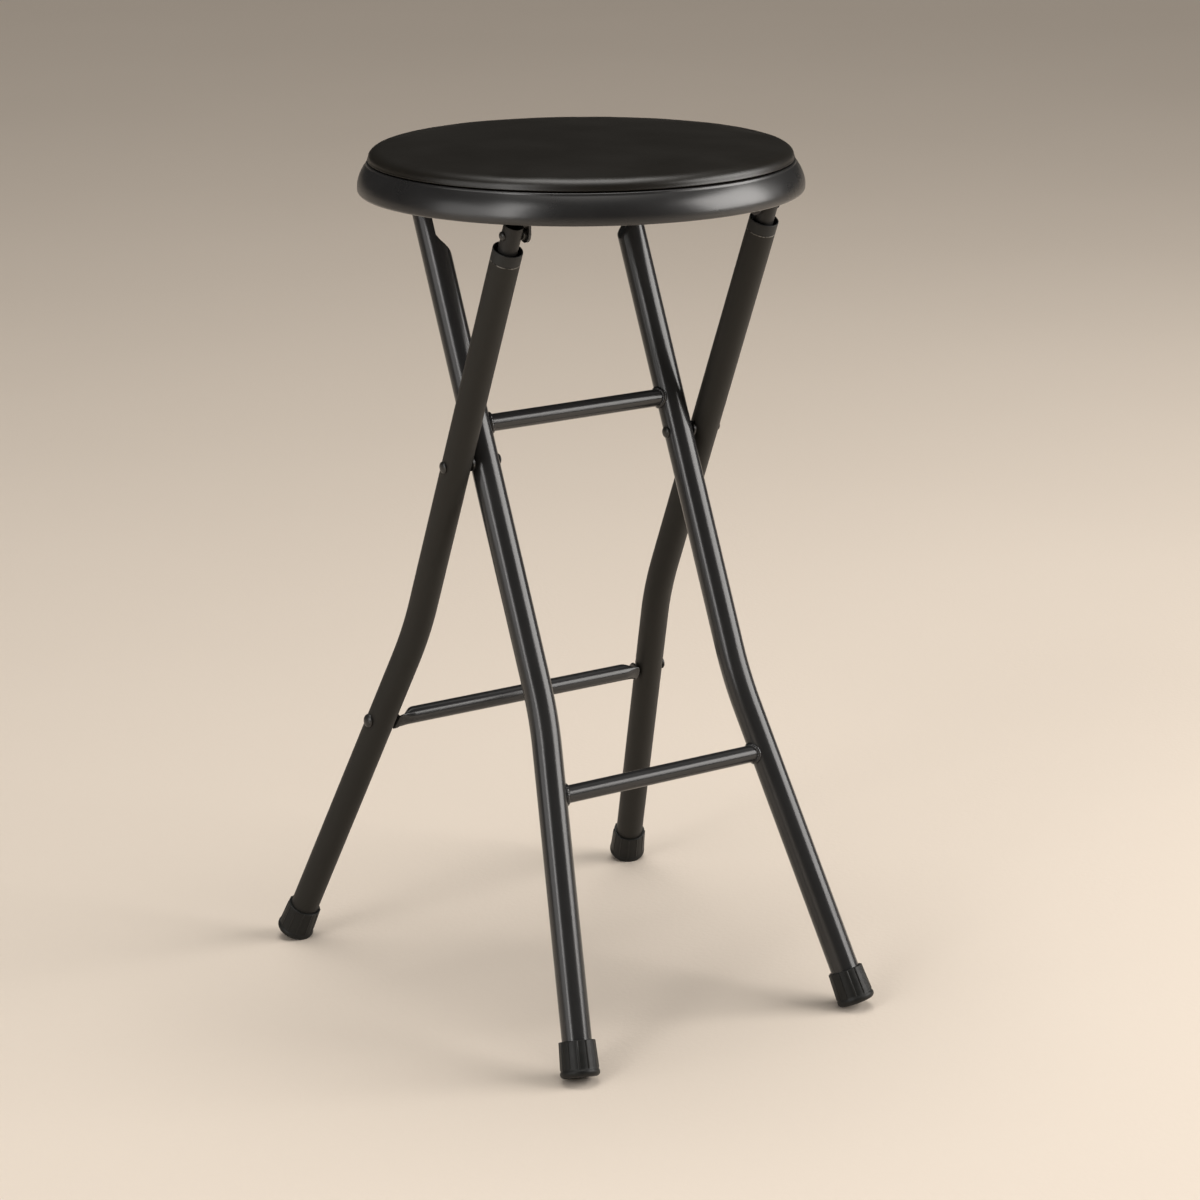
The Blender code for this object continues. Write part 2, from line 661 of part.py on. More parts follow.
def make_welded_bar(name, height, pivot, envelopes, material):
    """Round tube between the inner legs, with both ends coped to the legs."""
    drop = max(-height - INNER_BEND_DROP, 0.0)
    reach = INNER_LEG_X + drop * math.tan(INNER_FLARE)
    rings = []
    for radius in (BAR_RADIUS, BAR_RADIUS - BAR_WALL):
        points = circle_points(radius, BAR_SEGMENTS)
        rings.append([[(end * reach, back, up) for back, up in points] for end in (-1, 1)])
    bar = make_object(name, loft_tube(*rings), pivot, Matrix.Translation((0.0, 0.0, height)), material)
    for envelope in envelopes:
        apply_cut(bar, envelope)


def make_pivot_rivet(label, side, pivot, materials):
    low = INNER_LEG_X - LEG_RADIUS - TOUCH_GAP
    high = OUTER_LEG_X + LEG_RADIUS + TOUCH_GAP
    head = (PIVOT_HEAD_RADIUS, PIVOT_HEAD_HEIGHT)
    place = Matrix.Rotation(side * math.pi / 2, 4, "Y")
    make_object(f"pivot_rivet_{label}", rivet(PIVOT_RIVET_RADIUS, low, high, head, head), pivot, place,
                materials["rivet"])
    inner = PIVOT_RIVET_RADIUS + PIN_GAP
    start = INNER_LEG_X + LEG_RADIUS + TOUCH_GAP
    end = OUTER_LEG_X - LEG_RADIUS - TOUCH_GAP
    profile = [(inner, start), (inner + SPACER_WALL, start), (inner + SPACER_WALL, end), (inner, end)]
    make_object(f"pivot_spacer_{label}", revolve(profile, PIN_SEGMENTS), pivot, place, materials["rivet"])


def make_slide_tubes(pivot, materials):
    """Tubes that telescope into the outer legs. Their lower ends rest on the pivot rivets when open."""
    low = PIVOT_RIVET_RADIUS + STOP_GAP - SLIDE_HINGE_UP
    high = SLIDE_TOP_ABOVE_HINGE
    for label, side in SIDES:
        rings = []
        for radius in (SLIDE_RADIUS, SLIDE_RADIUS - SLIDE_WALL):
            points = circle_points(radius, LEG_SEGMENTS)
            rings.append([[(across, back, end) for across, back in points] for end in (low, high)])
        place = Matrix.Translation((side * OUTER_LEG_X, 0.0, 0.0))
        tube = make_object(f"slide_tube_{label}", loft_tube(*rings), pivot, place, materials["slide"])
        reach = SLIDE_RADIUS + CUT_OVERRUN
        hole = cylinder(HINGE_RIVET_RADIUS + PIN_GAP, -reach, reach)
        cutter = make_cutter(f"cut_slide_hinge_{label}", hole, pivot, along_x(side * OUTER_LEG_X, 0.0, 0.0))
        apply_cut(tube, cutter)


def seat_place(world_point):
    return Matrix.Translation(Vector(world_point) - SEAT_HINGE)


def skirt_points(inset):
    """Points down the bulging skirt of the pan, between its shoulder and its hem, set in by inset."""
    top = SHOULDER_Z - PAN_SHOULDER_ROUND
    fall = top - RIM_Z - PAN_HEM_DEPTH
    points = []
    for step in range(1, SKIRT_STEPS):
        part = step / SKIRT_STEPS
        radius = SHOULDER_RADIUS + PAN_FLARE * part + 4 * PAN_BULGE * part * (1 - part)
        points.append((radius - inset, top - fall * part))
    return points


def pan_profile():
    """Half outline of the seat pan in world heights, from the middle of its deck and back under it."""
    hem_center = (PAN_RADIUS - PAN_HEM_RADIUS, RIM_Z + PAN_HEM_RADIUS)
    round_center = (SHOULDER_RADIUS - PAN_SHOULDER_ROUND, SHOULDER_Z - PAN_SHOULDER_ROUND)
    inner_round = RECESS_RADIUS + PAN_SHOULDER_ROUND
    profile = [
        (0.0, DECK_TOP_Z),
        (RECESS_RADIUS - PAN_SHOULDER_ROUND, DECK_TOP_Z),
        (RECESS_RADIUS, DECK_TOP_Z + PAN_SHOULDER_ROUND),
        (RECESS_RADIUS, SHOULDER_Z - PAN_SHOULDER_ROUND),
        (inner_round, SHOULDER_Z),
    ]
    profile += arc(round_center, PAN_SHOULDER_ROUND, math.pi / 2, 0.0, 2)
    profile += skirt_points(0.0)
    profile += arc(hem_center, PAN_HEM_RADIUS, 0.0, -math.pi, ARC_STEPS + 1)
    profile += [
        (PAN_RADIUS - 2 * PAN_HEM_RADIUS, RIM_Z + PAN_HEM_DEPTH - PAN_SHEET),
        (PAN_RADIUS - 2 * PAN_SHEET, RIM_Z + PAN_HEM_DEPTH),
    ]
    profile += skirt_points(PAN_SHEET)[::-1]
    profile += [
        (SHOULDER_RADIUS - PAN_SHEET, SHOULDER_Z - 2 * PAN_SHEET),
        (RECESS_RADIUS + PAN_SHEET, SHOULDER_Z - PAN_SHEET),
        (RECESS_RADIUS + PAN_SHEET, DECK_TOP_Z),
        (RECESS_RADIUS, DECK_UNDER_Z),
        (0.0, DECK_UNDER_Z),
    ]
    return profile


def pad_profile():
    """Half outline of the cushion: flat under, drawn in at the seam, round shoulder and low crown."""
    under = BOARD_TOP_Z + TOUCH_GAP
    neck = RECESS_RADIUS - TOUCH_GAP
    seam_z = SHOULDER_Z + PAD_SEAM_GAP
    side_z = seam_z + PAD_SIDE_HEIGHT
    widest = neck + PAD_OVERHANG
    profile = [(0.0, under), (neck - 2 * TOUCH_GAP, under), (neck, under + 2 * TOUCH_GAP)]
    profile += [(neck, SHOULDER_Z), (neck + PAD_OVERHANG / 2, seam_z), (widest - TOUCH_GAP, seam_z + TOUCH_GAP)]
    center = widest - PAD_SHOULDER_WIDTH
    for step in range(PAD_SHOULDER_STEPS + 1):
        angle = math.pi / 2 * step / PAD_SHOULDER_STEPS
        rise = PAD_SHOULDER_HEIGHT * math.sin(angle)
        profile.append((center + PAD_SHOULDER_WIDTH * math.cos(angle), side_z + rise))
    top = side_z + PAD_SHOULDER_HEIGHT
    for step in range(1, PAD_CROWN_STEPS + 1):
        share = 1 - step / PAD_CROWN_STEPS
        profile.append((center * share, top + PAD_CROWN * (1 - share * share)))
    return profile


def lowered(profile, height):
    return [(radius, z - height) for radius, z in profile]


def make_seat(pivot, materials):
    pan = make_object("seat_pan", revolve(lowered(pan_profile(), RIM_Z), SEAT_SEGMENTS), pivot,
                      seat_place((0.0, 0.0, RIM_Z)), materials["pan"])
    board_radius = RECESS_RADIUS - BOARD_INSET
    board = make_object("pad_board", cylinder(board_radius, 0.0, BOARD_THICKNESS, SEAT_SEGMENTS), pivot,
                        seat_place((0.0, 0.0, BOARD_UNDER_Z)), materials["board"])
    make_object("seat_pad", revolve(lowered(pad_profile(), BOARD_TOP_Z), SEAT_SEGMENTS), pivot,
                seat_place((0.0, 0.0, BOARD_TOP_Z)), materials["vinyl"])
    for label, side in SIDES:
        front = make_front_bracket(label, side, pivot, materials)
        rear = make_rear_bracket(label, side, pivot, materials)
        rows = (("front", front, FRONT_EAR_X, SLIDE_HINGE.y), ("rear", rear, REAR_EAR_X, SEAT_HINGE.y))
        for row, bracket, ear_x, y in rows:
            x = ear_x - (BRACKET_BASE_WIDTH + BRACKET_SHEET) / 2
            for number, step in ((1, -1), (2, 1)):
                point = (side * x, y + step * SCREW_SPACING / 2, BASE_UNDER_Z)
                make_seat_screw(f"{row}_{label}_{number}", point, pivot, (bracket, pan, board), materials["screw"])


def make_seat_screw(label, point, pivot, drilled, material):
    """Pan-head screw from below, through a bracket and the pan into the pad board."""
    tip = BOARD_UNDER_Z + SCREW_BITE - BASE_UNDER_Z
    head = dome(SCREW_HEAD_RADIUS, SCREW_HEAD_HEIGHT, -TOUCH_GAP, -1)
    profile = head[::-1] + [(SCREW_RADIUS, -TOUCH_GAP), (SCREW_RADIUS, tip - SCREW_RADIUS), (0.0, tip)]
    place = seat_place(point)
    make_object(f"seat_screw_{label}", revolve(profile, SCREW_SEGMENTS), pivot, place, material)
    hole = cylinder(SCREW_RADIUS + PIN_GAP, -CUT_OVERRUN, tip + TOUCH_GAP, SCREW_SEGMENTS)
    cutter = make_cutter(f"cut_screw_{label}", hole, pivot, place)
    for obj in drilled:
        apply_cut(obj, cutter)


def ear_outline(hinge, radius, root_length):
    """Side view of a bracket in the seat's own frame, as (back, up) from the seat hinge's place."""
    top = BASE_TOP_Z - SEAT_HINGE.z
    under = BASE_UNDER_Z - SEAT_HINGE.z
    back = hinge.y - SEAT_HINGE.y
    up = hinge.z - SEAT_HINGE.z
    straight = min(EAR_STRAIGHT, (under - up) / 2)
    outline = [(back - BRACKET_LENGTH / 2, top), (back - BRACKET_LENGTH / 2, under)]
    outline += [(back - root_length / 2, under), (back - radius, up + straight)]
    outline += arc((back, up), radius, math.pi, math.tau, 2 * ARC_STEPS)
    outline += [(back + radius, up + straight), (back + root_length / 2, under)]
    outline += [(back + BRACKET_LENGTH / 2, under), (back + BRACKET_LENGTH / 2, top)]
    return outline


def folded_outline(ear_x, depth):
    """End view of folded sheet as (across, up) from the bracket's top: an ear at ear_x, its base inward."""
    low = ear_x - BRACKET_BASE_WIDTH
    sheet = BRACKET_SHEET
    center = (ear_x - BRACKET_BEND, -BRACKET_BEND)
    points = [(ear_x, -depth)]
    points += arc(center, BRACKET_BEND, 0.0, math.pi / 2, ARC_STEPS)
    points += [(low, 0.0), (low, -sheet)]
    points += arc(center, BRACKET_BEND - sheet, math.pi / 2, 0.0, ARC_STEPS)
    points += [(ear_x - sheet, -depth)]
    return points


def make_bracket(name, side, ear_x, hinge, radius, pivot, material):
    """Folded sheet bracket, trimmed to its side view, then drilled for its hinge rivet."""
    depth = BASE_TOP_Z - hinge.z + 2 * radius
    start = hinge.y - SEAT_HINGE.y - BRACKET_LENGTH
    top = BASE_TOP_Z - SEAT_HINGE.z
    outline = [(side * across, start, top + up) for across, up in folded_outline(ear_x, depth)]
    sheet = extrude_outline(outline, (0.0, 2 * BRACKET_LENGTH, 0.0))
    seat_frame = Matrix()
    bracket = make_object(name, sheet, pivot, seat_frame, material)
    low = ear_x - BRACKET_BASE_WIDTH - CUT_OVERRUN
    high = ear_x + CUT_OVERRUN
    silhouette = [(side * low, back, up) for back, up in ear_outline(hinge, radius, EAR_ROOT_LENGTH)]
    prism = extrude_outline(silhouette, (side * (high - low), 0.0, 0.0))
    apply_cut(bracket, make_cutter(f"trim_{name}", prism, pivot, seat_frame), "INTERSECT")
    span = sorted((side * low, side * high))
    drill_along_x(bracket, f"cut_{name}", pivot, HINGE_RIVET_RADIUS + PIN_GAP, *span,
                  (hinge.y - SEAT_HINGE.y, hinge.z - SEAT_HINGE.z))
    return bracket


def make_front_bracket(label, side, pivot, materials):
    """Bracket whose rivet passes through a slide tube, with a spacer between its ear and the tube."""
    bracket = make_bracket(f"front_bracket_{label}", side, FRONT_EAR_X, SLIDE_HINGE, FRONT_EAR_RADIUS, pivot,
                           materials["pan"])
    ear_head = (HINGE_HEAD_RADIUS, HINGE_HEAD_HEIGHT)
    tube_head = (TUBE_HEAD_RADIUS, HINGE_HEAD_HEIGHT)
    place = seat_place(SLIDE_HINGE) @ Matrix.Rotation(side * math.pi / 2, 4, "Y")
    low = FRONT_EAR_X - BRACKET_SHEET - TOUCH_GAP
    high = OUTER_LEG_X + SLIDE_RADIUS + TOUCH_GAP
    pin = rivet(HINGE_RIVET_RADIUS, low, high, ear_head, tube_head)
    make_object(f"front_hinge_rivet_{label}", pin, pivot, place, materials["rivet"])
    start = FRONT_EAR_X + TOUCH_GAP
    end = OUTER_LEG_X - SLIDE_RADIUS - TOUCH_GAP
    inner = HINGE_RIVET_RADIUS + PIN_GAP
    outer = inner + SPACER_WALL / 2
    profile = [(inner, start), (outer, start), (outer, end), (inner, end)]
    make_object(f"front_hinge_spacer_{label}", revolve(profile, PIN_SEGMENTS), pivot, place, materials["rivet"])
    return bracket


def make_rear_bracket(label, side, pivot, materials):
    bracket = make_bracket(f"rear_bracket_{label}", side, REAR_EAR_X, SEAT_HINGE, REAR_EAR_RADIUS, pivot,
                           materials["pan"])
    make_blind_rivet(label, side, pivot, materials["rivet"])
    return bracket


def make_blind_rivet(label, side, pivot, material):
    """Blind rivet of the rear hinge: its head is on the ear and its bulb inside the pressed leg."""
    head_face = REAR_EAR_X - BRACKET_SHEET - TOUCH_GAP
    bulb_face = PRESS_FACE_X + LEG_WALL + TOUCH_GAP
    bulb_end = bulb_face + HINGE_BULB_LENGTH
    profile = dome(HINGE_HEAD_RADIUS, HINGE_HEAD_HEIGHT, head_face, -1)[::-1]
    profile += [
        (HINGE_RIVET_RADIUS, head_face),
        (HINGE_RIVET_RADIUS, bulb_face),
        (HINGE_BULB_RADIUS, bulb_face),
        (HINGE_BULB_RADIUS, bulb_end - HINGE_BULB_RADIUS / 2),
        (HINGE_BULB_RADIUS / 2, bulb_end),
        (0.0, bulb_end),
    ]
    place = Matrix.Rotation(side * math.pi / 2, 4, "Y")
    make_object(f"rear_hinge_rivet_{label}", revolve(profile, PIN_SEGMENTS), pivot, place, material)


def build():
    clear_scene()
    materials = make_materials()
    inner_pivot = make_pivot("inner_frame_pivot", INNER_TILT)
    outer_pivot = make_pivot("outer_frame_pivot", OUTER_TILT)
    seat_pivot = make_pivot("seat_pivot", Matrix.Translation(SEAT_HINGE))
    slide_pivot = make_pivot("slide_tube_pivot", Matrix.Translation(SLIDE_HINGE) @ OUTER_TILT.to_3x3().to_4x4())
    make_inner_frame(inner_pivot, materials)
    make_outer_frame(outer_pivot, materials)
    make_seat(seat_pivot, materials)
    make_slide_tubes(slide_pivot, materials)


build()
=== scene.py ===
"""Looks of the round folding stool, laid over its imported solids.

Lengths are in metres and +Z is up. Each new piece repeats the sizes of the solid that it
stands for, apart from small surface forms: weld beads, ribs, the skirt's bulge and the cushion.
"""
import math

import bmesh
import bpy
from mathutils import Matrix, Vector


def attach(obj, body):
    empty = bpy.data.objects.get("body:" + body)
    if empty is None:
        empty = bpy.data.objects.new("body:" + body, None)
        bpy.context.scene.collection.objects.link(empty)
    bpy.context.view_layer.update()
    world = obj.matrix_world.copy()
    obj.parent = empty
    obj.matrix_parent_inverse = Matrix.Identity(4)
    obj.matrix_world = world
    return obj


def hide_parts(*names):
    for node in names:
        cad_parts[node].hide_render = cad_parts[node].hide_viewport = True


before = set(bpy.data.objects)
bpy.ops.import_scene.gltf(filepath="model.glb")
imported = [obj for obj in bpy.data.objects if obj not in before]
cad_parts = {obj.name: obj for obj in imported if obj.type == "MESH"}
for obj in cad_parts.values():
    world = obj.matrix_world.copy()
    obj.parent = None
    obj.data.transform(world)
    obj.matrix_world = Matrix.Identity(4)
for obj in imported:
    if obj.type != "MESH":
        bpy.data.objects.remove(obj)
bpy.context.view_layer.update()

# Sizes of the solids
LEG_RADIUS = 0.01035
LEG_WALL = 0.0009
BAR_RADIUS = 0.0062
SLIDE_RADIUS = 0.0068
SLIDE_WALL = 0.0010
HALF_ANGLE = math.radians(24.0)
PIVOT_HEIGHT = 0.3948
INNER_LEG_X = 0.0815
OUTER_LEG_X = 0.1042
OUTER_BEND_DROP = 0.1481
INNER_BEND_DROP = 0.1822
OUTER_FLARE = math.radians(9.5)
INNER_FLARE = math.radians(8.4)
BEND_RADIUS = 0.300
UPPER_BAR_UP = 0.0258
FOOTREST_DROP = 0.2382
REAR_BAR_DROP = 0.2262
REAR_BAR_FORWARD = 0.0024
SLIDE_HINGE_UP = 0.1880
COLLAR_BELOW_HINGE = 0.0110
SEAT_HINGE_UP = 0.1710
TOUCH_GAP = 0.0003
STOP_GAP = 0.0005
PRESS_START_BELOW_HINGE = 0.0276
PRESS_FLAT_BELOW_HINGE = 0.0090
PRESS_END_ABOVE_HINGE = 0.0095
PRESS_FACE_OUT = 0.0025
COLLAR_LENGTH = 0.0085
COLLAR_WALL = 0.0011
FOOT_HEIGHT = 0.0250
FOOT_TOP_WALL = 0.0015
FOOT_TAPER = 0.0009
FOOT_BEAD_OUT = 0.0007
FOOT_BEAD_HEIGHT = 0.0052
FOOT_FLOOR = 0.0035
FOOT_EDGE_RADIUS = 0.0030
FOOT_FLAT_DEPTH = 0.0008
FOOT_RIB_COUNT = 12
PIVOT_RIVET_RADIUS = 0.0030
PIVOT_HEAD_RADIUS = 0.0042
PIVOT_HEAD_HEIGHT = 0.0018
SPACER_WALL = 0.0022
BAR_RIVET_RADIUS = 0.0026
BAR_RIVET_DROP = 0.0012
BAR_HEAD_RADIUS = 0.0050
BAR_HEAD_HEIGHT = 0.0025
BAR_TAIL_RADIUS = 0.0034
BAR_TAIL_HEIGHT = 0.0014
TAB_THICKNESS = 0.0028
TAB_HEIGHT = 0.0126
TAB_NECK_HEIGHT = 0.0112
TAB_NECK_LENGTH = 0.0140
TAB_FORWARD = 0.0054
TAB_BEND_RADIUS = 0.0020
BRACKET_SHEET = 0.0018
FRONT_EAR_SPACER = 0.0024
HINGE_RIVET_RADIUS = 0.0026
HINGE_HEAD_RADIUS = 0.0042
HINGE_HEAD_HEIGHT = 0.0017
TUBE_HEAD_RADIUS = 0.0032
SLIDE_TOP_ABOVE_HINGE = 0.0080
PAN_RADIUS = 0.1548
PAN_SHEET = 0.0010
PAN_RIM_ABOVE_HINGE = 0.0109
PAN_HEIGHT = 0.0209
PAN_FLARE = 0.0066
PAN_HEM_DEPTH = 0.0046
PAN_HEM_RADIUS = 0.0023
PAN_SHOULDER_WIDTH = 0.0035
PAN_SHOULDER_ROUND = 0.0011
PAN_RECESS_DEPTH = 0.0084
BOARD_THICKNESS = 0.0045
PAD_OVERHANG = 0.0037
PAD_SHOULDER_WIDTH = 0.0092

# Small forms that the solids lack or have a little larger or smaller
COLLAR_RIM_RADIUS = 0.0004
SLIDE_RIM_RADIUS = 0.0003
FOOT_BEAD_BAND = 0.0014
FOOT_BEAD_DIP = 0.0003
FOOT_NECK_DIP = 0.0001
FOOT_NECK_LENGTH = 0.0010
FOOT_LIP_RADIUS = 0.0005
FOOT_RIB_HEIGHT = 0.0005
FOOT_RIB_WIDTH = 0.0015
PAN_BULGE = 0.0014
PAD_SEAM_GAP = 0.0009
PAD_SIDE_HEIGHT = 0.0021
PAD_SHOULDER_HEIGHT = 0.0073
PAD_CROWN = 0.0031
PAD_TUCK = 0.0004
BEAD_RADIUS = 0.0016
BEAD_RIPPLE = 0.00024
BEAD_RIPPLES = 22

# Fineness of the shown pieces
TUBE_SEGMENTS = 48
SEAT_SEGMENTS = 256
PIN_SEGMENTS = 32
FOOT_SEGMENTS = 240
BEND_STEPS = 16
PRESS_STEPS = 16
ROUND_STEPS = 8
BEAD_STEPS_PER_RIPPLE = 6
BEAD_SEGMENTS = 12
SHARP_ANGLE = math.radians(40.0)
CUT_TOLERANCE = 1e-7

# Cushion: its even mesh, and the air pressure and smoothing that shape it
PAD_GRID = 40
PAD_MIDDLE_RADIUS = 0.090
PAD_RING_GAP = 0.0045
PAD_START_DROP = 0.0010
CUSHION_PRESSURE = 4.0
CUSHION_FRAMES = 20
CUSHION_TRAVEL = 0.0011
EASE_ROUNDS = 9
EASE_SHARE = 0.5

# Usual range of a noise texture
NOISE_LOW = 0.3
NOISE_HIGH = 0.7

# Paint: width and tone of a painted highlight on the rim of a leg's mouth, drawn as a broken
# light line like chipped paint; how far patches and rubbed spots shift the tone; and the depth of
# the fine grain as a share of the orange peel's
RIM_HIGHLIGHT_WIDTH = 0.0007
RIM_HIGHLIGHT_TONE = (0.24, 0.23, 0.21, 1.0)
PATCH_DARKER = 0.86
PATCH_LIGHTER = 1.12
RUBBED_GAIN = 1.4
RUBBED_LIFT = 0.003
GRAIN_SHARE = 0.3

# Places that follow from the sizes
SIDES = (("left", -1), ("right", 1))
UP = Vector((0.0, 0.0, 1.0))
PIVOT = Vector((0.0, 0.0, PIVOT_HEIGHT))
OUTER_TILT = Matrix.Translation(PIVOT) @ Matrix.Rotation(HALF_ANGLE, 4, "X")
INNER_TILT = Matrix.Translation(PIVOT) @ Matrix.Rotation(-HALF_ANGLE, 4, "X")
SLIDE_HINGE = OUTER_TILT @ Vector((0.0, 0.0, SLIDE_HINGE_UP))
COLLAR_TOP = SLIDE_HINGE_UP - COLLAR_BELOW_HINGE
RIM_Z = SLIDE_HINGE.z + PAN_RIM_ABOVE_HINGE
SHOULDER_Z = RIM_Z + PAN_HEIGHT
DECK_TOP_Z = SHOULDER_Z - PAN_RECESS_DEPTH
SHOULDER_RADIUS = PAN_RADIUS - PAN_FLARE
RECESS_RADIUS = SHOULDER_RADIUS - PAN_SHOULDER_WIDTH
MOUTH_TOP = COLLAR_TOP - COLLAR_LENGTH - TOUCH_GAP
FOOT_TOP_RADIUS = LEG_RADIUS + TOUCH_GAP + FOOT_TOP_WALL
FOOT_NECK_RADIUS = FOOT_TOP_RADIUS + FOOT_TAPER
FOOT_BEAD_RADIUS = FOOT_NECK_RADIUS + FOOT_BEAD_OUT
SEAM_Z = SHOULDER_Z + PAD_SEAM_GAP
PAD_NECK_RADIUS = RECESS_RADIUS - TOUCH_GAP
PAD_WIDEST_RADIUS = PAD_NECK_RADIUS + PAD_OVERHANG
PAD_CROWN_RADIUS = PAD_WIDEST_RADIUS - PAD_SHOULDER_WIDTH

# Camera, placed as the photograph was taken
CAMERA_PLACE = Vector((-1.2596, -1.9559, 0.9567))
CAMERA_AZIMUTH = math.radians(-33.060)
CAMERA_ELEVATION = math.radians(16.198)
CAMERA_ROLL = math.radians(-0.333)
CAMERA_LENS = 101.466
CAMERA_SENSOR = 36.0

# Studio. Lamp azimuths and elevations are in degrees, azimuths to the right of the camera
FLOOR_REACH = 60.0
LAMP_TARGET = Vector((0.0, 0.0, 0.33))
LAMPS = (
    {"name": "key", "azimuth": 86.0, "elevation": 23.0, "distance": 3.0, "size": (2.3, 1.9),
     "power": 93.0, "tint": (1.0, 0.97, 0.94)},
    {"name": "fill", "azimuth": -37.0, "elevation": 24.0, "distance": 3.0, "size": (0.6, 2.3),
     "power": 27.5, "tint": (1.0, 0.98, 0.96)},
    {"name": "wide_fill", "azimuth": -61.0, "elevation": 16.0, "distance": 3.0, "size": (1.5, 1.8),
     "power": 14.2, "tint": (1.0, 0.98, 0.96)},
    {"name": "top", "azimuth": 0.0, "elevation": 95.0, "distance": 3.4, "size": (2.0, 2.0),
     "power": 38.0, "tint": (1.0, 0.98, 0.95)},
)

# Sky: dark towards the horizon and bright overhead. Heights are the sine of the elevation
SKY_TONE = (1.0, 0.965, 0.92, 1.0)
SKY_DARK_HEIGHT = 0.78
SKY_DARK_STRENGTH = 0.02
SKY_BRIGHT_STRENGTH = 1.82


class Surface:
    """Node tree of one material, in the object's own coordinates."""

    def __init__(self, name):
        self.material = bpy.data.materials.new(name)
        self.material.use_nodes = True
        self.nodes = self.material.node_tree.nodes
        self.links = self.material.node_tree.links
        self.shader = self.nodes["Principled BSDF"]
        self.place = self.nodes.new("ShaderNodeTexCoord").outputs["Object"]

    def noise(self, size, detail, stretch=(1.0, 1.0, 1.0), roughness=0.5):
        """Noise whose features are about size metres across."""
        mapping = self.nodes.new("ShaderNodeMapping")
        mapping.inputs["Scale"].default_value = stretch
        texture = self.nodes.new("ShaderNodeTexNoise")
        texture.inputs["Scale"].default_value = 1.0 / size
        texture.inputs["Detail"].default_value = detail
        texture.inputs["Roughness"].default_value = roughness
        self.links.new(self.place, mapping.inputs["Vector"])
        self.links.new(mapping.outputs["Vector"], texture.inputs["Vector"])
        return texture.outputs["Fac"]

    def cells(self, size, smoothness):
        """Distance field of rounded cells about size metres across."""
        texture = self.nodes.new("ShaderNodeTexVoronoi")
        texture.feature = "SMOOTH_F1"
        texture.inputs["Scale"].default_value = 1.0 / size
        texture.inputs["Smoothness"].default_value = smoothness
        self.links.new(self.place, texture.inputs["Vector"])
        return texture.outputs["Distance"]

    def spread(self, value, low, high, out_low=0.0, out_high=1.0):
        """Map a value from low..high on to out_low..out_high."""
        node = self.nodes.new("ShaderNodeMapRange")
        node.inputs["From Min"].default_value = low
        node.inputs["From Max"].default_value = high
        node.inputs["To Min"].default_value = out_low
        node.inputs["To Max"].default_value = out_high
        self.links.new(value, node.inputs["Value"])
        return node.outputs["Result"]

    def vary(self, noise, out_low, out_high):
        """Swing from out_low to out_high over the usual range of a noise."""
        return self.spread(noise, NOISE_LOW, NOISE_HIGH, out_low, out_high)

    def mix(self, factor, first, second):
        """Colour between two colours or colour sockets."""
        node = self.nodes.new("ShaderNodeMix")
        node.data_type = "RGBA"
        self.links.new(factor, node.inputs["Factor"])
        for socket, item in ((node.inputs["A"], first), (node.inputs["B"], second)):
            if isinstance(item, bpy.types.NodeSocket):
                self.links.new(item, socket)
            else:
                socket.default_value = item
        return node.outputs["Result"]

    def math(self, operation, first, second):
        """Result of a math node on two values or sockets."""
        node = self.nodes.new("ShaderNodeMath")
        node.operation = operation
        for socket, item in zip(node.inputs, (first, second)):
            if isinstance(item, bpy.types.NodeSocket):
                self.links.new(item, socket)
            else:
                socket.default_value = item
        return node.outputs["Value"]

    def rim_highlight(self, axis, height):
        """Painted highlight: a broken light line, drawn like chipped paint, at a height along an axis,
        as a factor.
        """
        node = self.nodes.new("ShaderNodeVectorMath")
        node.operation = "DOT_PRODUCT"
        node.inputs[1].default_value = axis
        self.links.new(self.place, node.inputs[0])
        above = self.math("SUBTRACT", node.outputs["Value"], height)
        line = self.spread(self.math("ABSOLUTE", above, 0.0), RIM_HIGHLIGHT_WIDTH / 2, RIM_HIGHLIGHT_WIDTH, 1.0, 0.0)
        broken = self.spread(self.noise(size=0.0028, detail=4.0), low=0.40, high=0.56)
        return self.math("MULTIPLY", line, broken)

    def bump(self, height, depth, normal=None):
        """Normal of a relief depth metres deep, on top of another normal."""
        node = self.nodes.new("ShaderNodeBump")
        node.inputs["Strength"].default_value = 1.0
        node.inputs["Distance"].default_value = depth
        self.links.new(height, node.inputs["Height"])
        if normal is not None:
            self.links.new(normal, node.inputs["Normal"])
        return node.outputs["Normal"]

    def feed(self, name, value):
        self.links.new(value, self.shader.inputs[name])

    def fix(self, name, value):
        self.shader.inputs[name].default_value = value


def paint(name, tone, roughness, swing, peel, shine, rim=None):
    """Powder coat: slight orange peel, uneven gloss, faint rubbed spots and maybe a painted highlight
    on a rim, drawn as chipped paint.
    """
    surface = Surface(name)
    patches = surface.noise(size=0.030, detail=4.0)
    grain = surface.noise(size=0.0007, detail=2.0)
    spots = surface.noise(size=0.004, detail=6.0, roughness=0.7)
    rubbed = surface.spread(spots, low=0.66, high=0.78)
    darker = tuple(channel * PATCH_DARKER for channel in tone) + (1.0,)
    lighter = tuple(channel * PATCH_LIGHTER for channel in tone) + (1.0,)
    worn = tuple(channel * RUBBED_GAIN + RUBBED_LIFT for channel in tone) + (1.0,)
    coat = surface.mix(rubbed, surface.mix(patches, darker, lighter), worn)
    if rim is not None:
        # Painted highlight on the rim: a light broken line drawn like chipped paint
        coat = surface.mix(surface.rim_highlight(*rim), coat, RIM_HIGHLIGHT_TONE)
    surface.feed("Base Color", coat)
    gloss = surface.vary(patches, roughness - swing, roughness + swing)
    surface.feed("Roughness", surface.math("ADD", gloss, surface.math("MULTIPLY", grain, swing)))
    surface.fix("Specular IOR Level", shine)
    fine = surface.bump(grain, GRAIN_SHARE * peel)
    surface.feed("Normal", surface.bump(surface.noise(size=0.0024, detail=2.0), peel, fine))
    return surface.material


